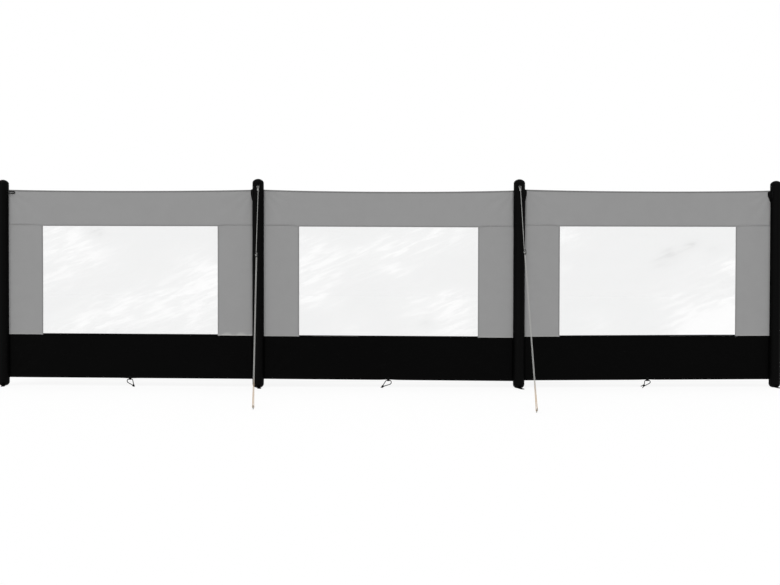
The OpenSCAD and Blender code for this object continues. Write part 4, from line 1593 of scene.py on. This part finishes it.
@dataclass
class Guy:
    """A guy from a webbing fold on a post, through a three-holed runner, round a peg and back."""

    post: Post
    lean: float
    reach: float
    diameter: float = 3.5 * MM
    tab_z: float = 1352 * MM
    tab_w: float = 6 * MM
    tab_t: float = 2 * MM
    eye_r: float = 5 * MM
    loop_h: float = 36 * MM
    part_h: float = 40 * MM
    runner_drop: float = 605 * MM
    runner_pitch: float = 13 * MM
    runner_t: float = 5 * MM
    peg_d: float = 6 * MM
    peg_turn_z: float = 14 * MM
    seat: float = 0.3 * MM
    top_knot_at: float = 33 * MM
    top_knot_w: float = 4.2 * MM
    top_knot_h: float = 3.4 * MM
    top_knot_turns: float = 2.5
    end_knot_r: float = 3.4 * MM
    end_knot_rise: float = 1.6 * MM
    end_knot_turns: float = 2.2
    end_knot_tail: tuple[float, float, float] = (-7 * MM, -6 * MM, -3 * MM)

    def __post_init__(self) -> None:
        """Work out the guy's own axes: along it, level across it, and under it."""
        foot = np.array([*self.post.middle, 0.0])
        end = foot + [self.lean, -self.reach, self.peg_turn_z]
        heading = math.atan2(-self.reach, self.lean)
        out = self.post.radius + self.seat + self.tab_t / 2 + self.eye_r + self.tab_t
        self.start = foot + [out * math.cos(heading), out * math.sin(heading), self.tab_z]
        self.length = float(np.linalg.norm(end - self.start))
        self.along = (end - self.start) / self.length
        self.across = np.array([-math.sin(heading), math.cos(heading), 0.0])
        self.under = np.cross(self.across, self.along)
        self.hole = self.diameter / 2 + 2 * self.seat

    def node(self, part: str) -> str:
        """Name one of the guy's CAD nodes."""
        return f"{self.post.node}_guy_{part}"

    def places(self, route: Sequence[tuple[float, float, float]]) -> np.ndarray:
        """Turn places under, across and along the guy to places in the frame."""
        return self.start + np.array(route) @ np.stack([self.under, self.across, self.along])

    def line(self) -> np.ndarray:
        """Draw the cord: a loop in the tab, the runner's first two holes, the peg and the third hole.

        Returns:
            The points of the cord's middle.
        """
        d, beside = self.diameter, self.diameter / 2 + self.seat
        inner, side, eye = self.tab_w / 2, self.tab_w / 2 + 0.8 * d, self.eye_r - beside
        half, face, bend = self.runner_t / 2, self.runner_t / 2 + beside, beside + self.seat
        hole, pitch, drop = self.hole, self.runner_pitch, self.runner_drop
        half_loop = [
            (inner, 0), (inner + 0.6 * d, 0.3 * d), (side, d), (side, 2.4 * d), (beside, self.loop_h),
            (beside, self.loop_h + 2 * d),
        ]
        tab_loop = [(0, -a, eye + b) for a, b in reversed(half_loop)]
        tab_loop += [(0, a, eye + b) for a, b in half_loop]
        threaded = [
            (face, -hole, drop - 2 * pitch), (face, -hole, drop - pitch - bend), (half, -hole, drop - pitch),
            (-half, -hole, drop - pitch), (-face, -hole, drop - pitch + bend), (-face, hole, drop - bend),
            (-half, hole, drop), (half, hole, drop), (face, hole, drop + bend),
            (face, hole, drop + 2 * pitch),
        ]
        turn_r = self.peg_d / 2 + beside
        angles = np.radians(np.arange(90, -91, -30))
        around = [(0, turn_r * math.sin(a), self.length + turn_r * math.cos(a)) for a in angles]
        part = self.length - self.part_h
        turned = [(0, beside, part), *around, (0, -beside, part)]
        ended = [
            (face, -hole, drop + 2 * pitch), (face, -hole, drop + pitch + bend), (half, -hole, drop + pitch),
            (-face, -hole, drop + pitch),
        ]
        return smooth_route(self.places(tab_loop + threaded + turned + ended), step=2.0 * MM)

    def top_knot(self) -> bpy.types.Object:
        """Wind the knot that closes the loop in the tab.

        Returns:
            The knot.
        """
        start = self.start + (self.eye_r - self.diameter / 2 + self.top_knot_at) * self.along
        name = f"{self.node('line')}_top_knot"
        return wound_knot(
            name, start, self.along, self.across, self.top_knot_w, self.top_knot_h, self.diameter,
            self.top_knot_turns,
        )

    def end_knot(self) -> bpy.types.Object:
        """Wind the stopper knot on the cord's end, on the upper face of the runner.

        Returns:
            The knot.
        """
        hole, face = self.hole, self.runner_t / 2 + self.diameter / 2
        at, r = self.runner_drop + self.runner_pitch, self.end_knot_r
        wound = [
            (-face - self.end_knot_rise * a / (2 * math.pi), -hole + r * math.sin(a), at + r * math.cos(a))
            for a in np.linspace(0, 2 * math.pi * self.end_knot_turns, 32)
        ]
        base = (-face, -hole, at)
        tail = tuple(place + off for place, off in zip(base, self.end_knot_tail))
        line = smooth_route(self.places([base, *wound, tail]), step=1.2 * MM)
        return cord_tube(f"{self.node('line')}_end_knot", line, self.diameter)

    def build(self, finishes: Finishes) -> None:
        """Make the cord, its knots and its fittings.

        Args:
            finishes: The finishes of the windbreak.
        """
        line = self.node("line")
        cord = cord_tube(f"{line}_cord", self.line(), self.diameter, sides=10)
        fit_in(cord, finishes.guy_cord, [line])
        fit_in(self.top_knot(), finishes.guy_cord)
        fit_in(self.end_knot(), finishes.guy_cord)
        soft_fitting(self.node("tab"), "fitting", finishes.webbing, edge=0.35 * MM)
        soft_fitting(self.node("runner"), "fitting", finishes.nylon, edge=0.9 * MM)
        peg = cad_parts[self.node("peg")]
        peg.data.materials.clear()
        peg.data.materials.append(finishes.steel)
        LOG.info("%s: as in CAD, %s", peg.name, finishes.steel.name)


@dataclass
class FootTab:
    """A webbing tab under a post's foot, with an eye for a ground peg."""

    post: Post
    turn_deg: float = 14.0
    reach: float = 74 * MM
    eye_r: float = 5 * MM
    thickness: float = 3 * MM
    sewn_w: float = 17 * MM
    sewn_from: float = 40 * MM
    sewn_to: float = 61 * MM
    bound: tuple[float, float] = (1.4 * MM, 3.2 * MM)

    def places(self, route: Sequence[tuple[float, float]]) -> np.ndarray:
        """Turn places across and along the tab, from the post's middle, to places on its upper face.

        Args:
            route: Places across and along the tab.
        Returns:
            Points in the frame.
        """
        across, along = np.array(route).T
        turn = math.radians(self.turn_deg)
        return np.stack([
            self.post.middle[0] + across * math.cos(turn) + along * math.sin(turn),
            self.post.middle[1] + across * math.sin(turn) - along * math.cos(turn),
            np.full(len(across), self.thickness),
        ], axis=1)

    def build(self, finishes: Finishes) -> None:
        """Round the webbing's edges, sew a crossed box on it and bind its eye.

        Args:
            finishes: The finishes of the windbreak.
        """
        node = f"{self.post.node}_foot_tab"
        soft_fitting(node, "webbing", finishes.webbing, edge=0.4 * MM)
        thread = Stitching(f"{node}_stitching", length=3.4 * MM, pitch=4.4 * MM, width=0.9 * MM)
        half, low, high = self.sewn_w / 2, self.sewn_from, self.sewn_to
        corners = [(-half, low), (half, low), (half, high), (-half, high)]
        rows = [[corners[a], corners[b]] for a, b in ((0, 1), (1, 2), (2, 3), (3, 0), (0, 2), (1, 3))]
        turns = np.linspace(0, 2 * math.pi, 33)
        for r in (self.eye_r + room for room in self.bound):
            rows.append([(r * math.sin(a), self.reach + r * math.cos(a)) for a in turns])
        for row in rows:
            thread.sew(self.places(row), np.array([0.0, 0.0, 1.0]))
        thread.build(finishes.black_thread, Slot.WEBBING)


@dataclass
class Studio:
    """Camera, floor and light."""

    place: tuple[float, float, float] = (0.923, -7.0, 0.7612)
    pitch_deg: float = 0.99
    yaw_deg: float = -0.31
    roll_deg: float = 0.109
    focal_px: float = 1043.5
    sensor_mm: float = 36.0
    view_reach: float = 200.0
    floor_size: float = 60.0
    floor_middle: tuple[float, float, float] = (0.9, 0.0, -0.4 * MM)
    floor_glow: float = 0.825
    light_around: float = 0.55

    def camera(self) -> bpy.types.Object:
        """Set the camera where the photograph was taken from.

        Returns:
            The scene's camera.
        """
        data = bpy.data.cameras.new("photo_camera")
        data.sensor_width = self.sensor_mm
        data.lens = self.focal_px / PHOTO_WIDTH_PX * self.sensor_mm
        data.clip_end = self.view_reach
        pitch, yaw, roll = (math.radians(a) for a in (self.pitch_deg, self.yaw_deg, self.roll_deg))
        ahead = np.array([math.sin(yaw) * math.cos(pitch), math.cos(yaw) * math.cos(pitch), -math.sin(pitch)])
        level = np.array([math.cos(yaw), -math.sin(yaw), 0.0])
        right = math.cos(roll) * level + math.sin(roll) * np.cross(level, ahead)
        matrix = np.eye(4)
        matrix[:3] = np.stack([right, np.cross(right, ahead), -ahead, self.place], axis=1)
        camera = bpy.data.objects.new("photo_camera", data)
        camera.matrix_world = matrix.T.tolist()
        bpy.context.scene.collection.objects.link(camera)
        bpy.context.scene.camera = camera
        return camera

    def seen_ray(self, tree: bpy.types.NodeTree) -> Link:
        """Tell rays that show the background, straight, mirrored or through film, from those that light.

        Args:
            tree: Node tree that asks.
        Returns:
            A link that is 1 for rays that show it.
        """
        path = add_node(tree, "ShaderNodeLightPath")
        seen = (path, "Is Camera Ray")
        for way in ("Is Glossy Ray", "Is Transmission Ray"):
            either = add_node(tree, "ShaderNodeMath", {"operation": "MAXIMUM"}, {0: seen, 1: (path, way)})
            seen = (either, "Value")
        return seen

    def floor(self) -> bpy.types.Object:
        """Lay a white floor that keeps a soft shadow.

        Returns:
            The floor.
        """
        deselect()
        bpy.ops.mesh.primitive_plane_add(size=self.floor_size, location=self.floor_middle)
        floor = named_primitive("studio_floor")
        material, tree = new_material("white studio floor")
        plain = add_node(tree, "ShaderNodeBsdfDiffuse", None, {"Color": linear("#f2f2f2")})
        shaded = add_node(tree, "ShaderNodeBsdfDiffuse", None, {"Color": linear("#808080")})
        glow = add_node(
            tree, "ShaderNodeEmission", None, {"Color": linear("#ffffff"), "Strength": self.floor_glow}
        )
        lit = add_node(tree, "ShaderNodeAddShader", None, {0: (glow, "Emission"), 1: (shaded, "BSDF")})
        shown = add_node(tree, "ShaderNodeMixShader", None, {
            0: self.seen_ray(tree), 1: (plain, "BSDF"), 2: (lit, "Shader"),
        })
        add_node(tree, "ShaderNodeOutputMaterial", None, {"Surface": (shown, "Shader")})
        floor.data.materials.append(material)
        return floor

    def light(self) -> None:
        """Light the cloth softly and evenly from above the camera, with white all round."""
        world = bpy.data.worlds.new("white studio")
        world.use_nodes = True
        bpy.context.scene.world = world
        tree = world.node_tree
        tree.nodes.clear()
        around, behind = (
            add_node(tree, "ShaderNodeBackground", None, {"Color": linear("#ffffff"), "Strength": strength})
            for strength in (self.light_around, 1.0)
        )
        mixed = add_node(tree, "ShaderNodeMixShader", None, {
            0: self.seen_ray(tree), 1: (around, "Background"), 2: (behind, "Background"),
        })
        add_node(tree, "ShaderNodeOutputWorld", None, {"Surface": (mixed, "Shader")})
        self.lamp("key_light", way=(-0.34, -0.74, 0.59), angle_deg=60, strength=1.2)
        self.lamp("fill_light", way=(0.62, -0.65, 0.42), angle_deg=80, strength=0.3)

    def lamp(
        self, name: str, way: tuple[float, float, float], angle_deg: float, strength: float
    ) -> bpy.types.Object:
        """Set a wide, soft lamp that lights the whole scene evenly from one side.

        Args:
            name: Name of the lamp.
            way: Where it shines from.
            angle_deg: How wide it looks, which softens its shadows.
            strength: Its light in watts per square metre.
        Returns:
            The lamp.
        """
        deselect()
        bpy.ops.object.light_add(type="SUN", location=way)
        lamp = bpy.context.active_object
        lamp.name = lamp.data.name = name
        lamp.data.angle, lamp.data.energy = math.radians(angle_deg), strength
        tilt = math.atan2(math.hypot(way[0], way[1]), way[2])
        lamp.rotation_euler = (tilt, 0, math.atan2(way[0], -way[1]))
        return lamp


def main() -> None:
    """Build the studio and the windbreak, from the cords to the cloth."""
    logging.basicConfig(level=logging.INFO, format="%(name)s: %(message)s")
    bpy.context.scene.view_settings.view_transform = "Standard"
    studio = Studio()
    studio.camera()
    studio.floor()
    studio.light()
    finishes = Finishes()
    posts = [Post(number) for number in (1, 2, 3, 4)]
    middles = [post.middle for post in posts]
    bays = [
        Bay(1, *middles[0:2], loose_side=Side.RIGHT, top_sag=8 * MM),
        Bay(2, *middles[1:3], glint_stretch=(0.36, 0.69)),
        Bay(3, *middles[2:4], glint_stretch=(1.02, 1.46), top_sag=10 * MM),
    ]
    for bay, knot_from_end in zip(bays, (3, 3, 4)):
        PegLoop(bay, knot_from_end).build(finishes)
    Guy(posts[1], lean=123 * MM, reach=1150 * MM).build(finishes)
    Guy(posts[2], lean=-48 * MM, reach=1260 * MM).build(finishes)
    CordTie(bays[0], Side.LEFT).build(finishes, posts[0].radius)
    StrapTie(bays[0], Side.RIGHT, reach=11 * MM).build(finishes, posts[1].radius)
    StrapTie(bays[2], Side.LEFT, reach=11 * MM).build(finishes, posts[2].radius)
    StrapTie(bays[2], Side.RIGHT, reach=20 * MM).build(finishes, posts[3].radius)
    for post in posts:
        post.build(finishes)
        FootTab(post).build(finishes)
    for bay in bays:
        bay.build(finishes)


if __name__ == "__main__":
    main()
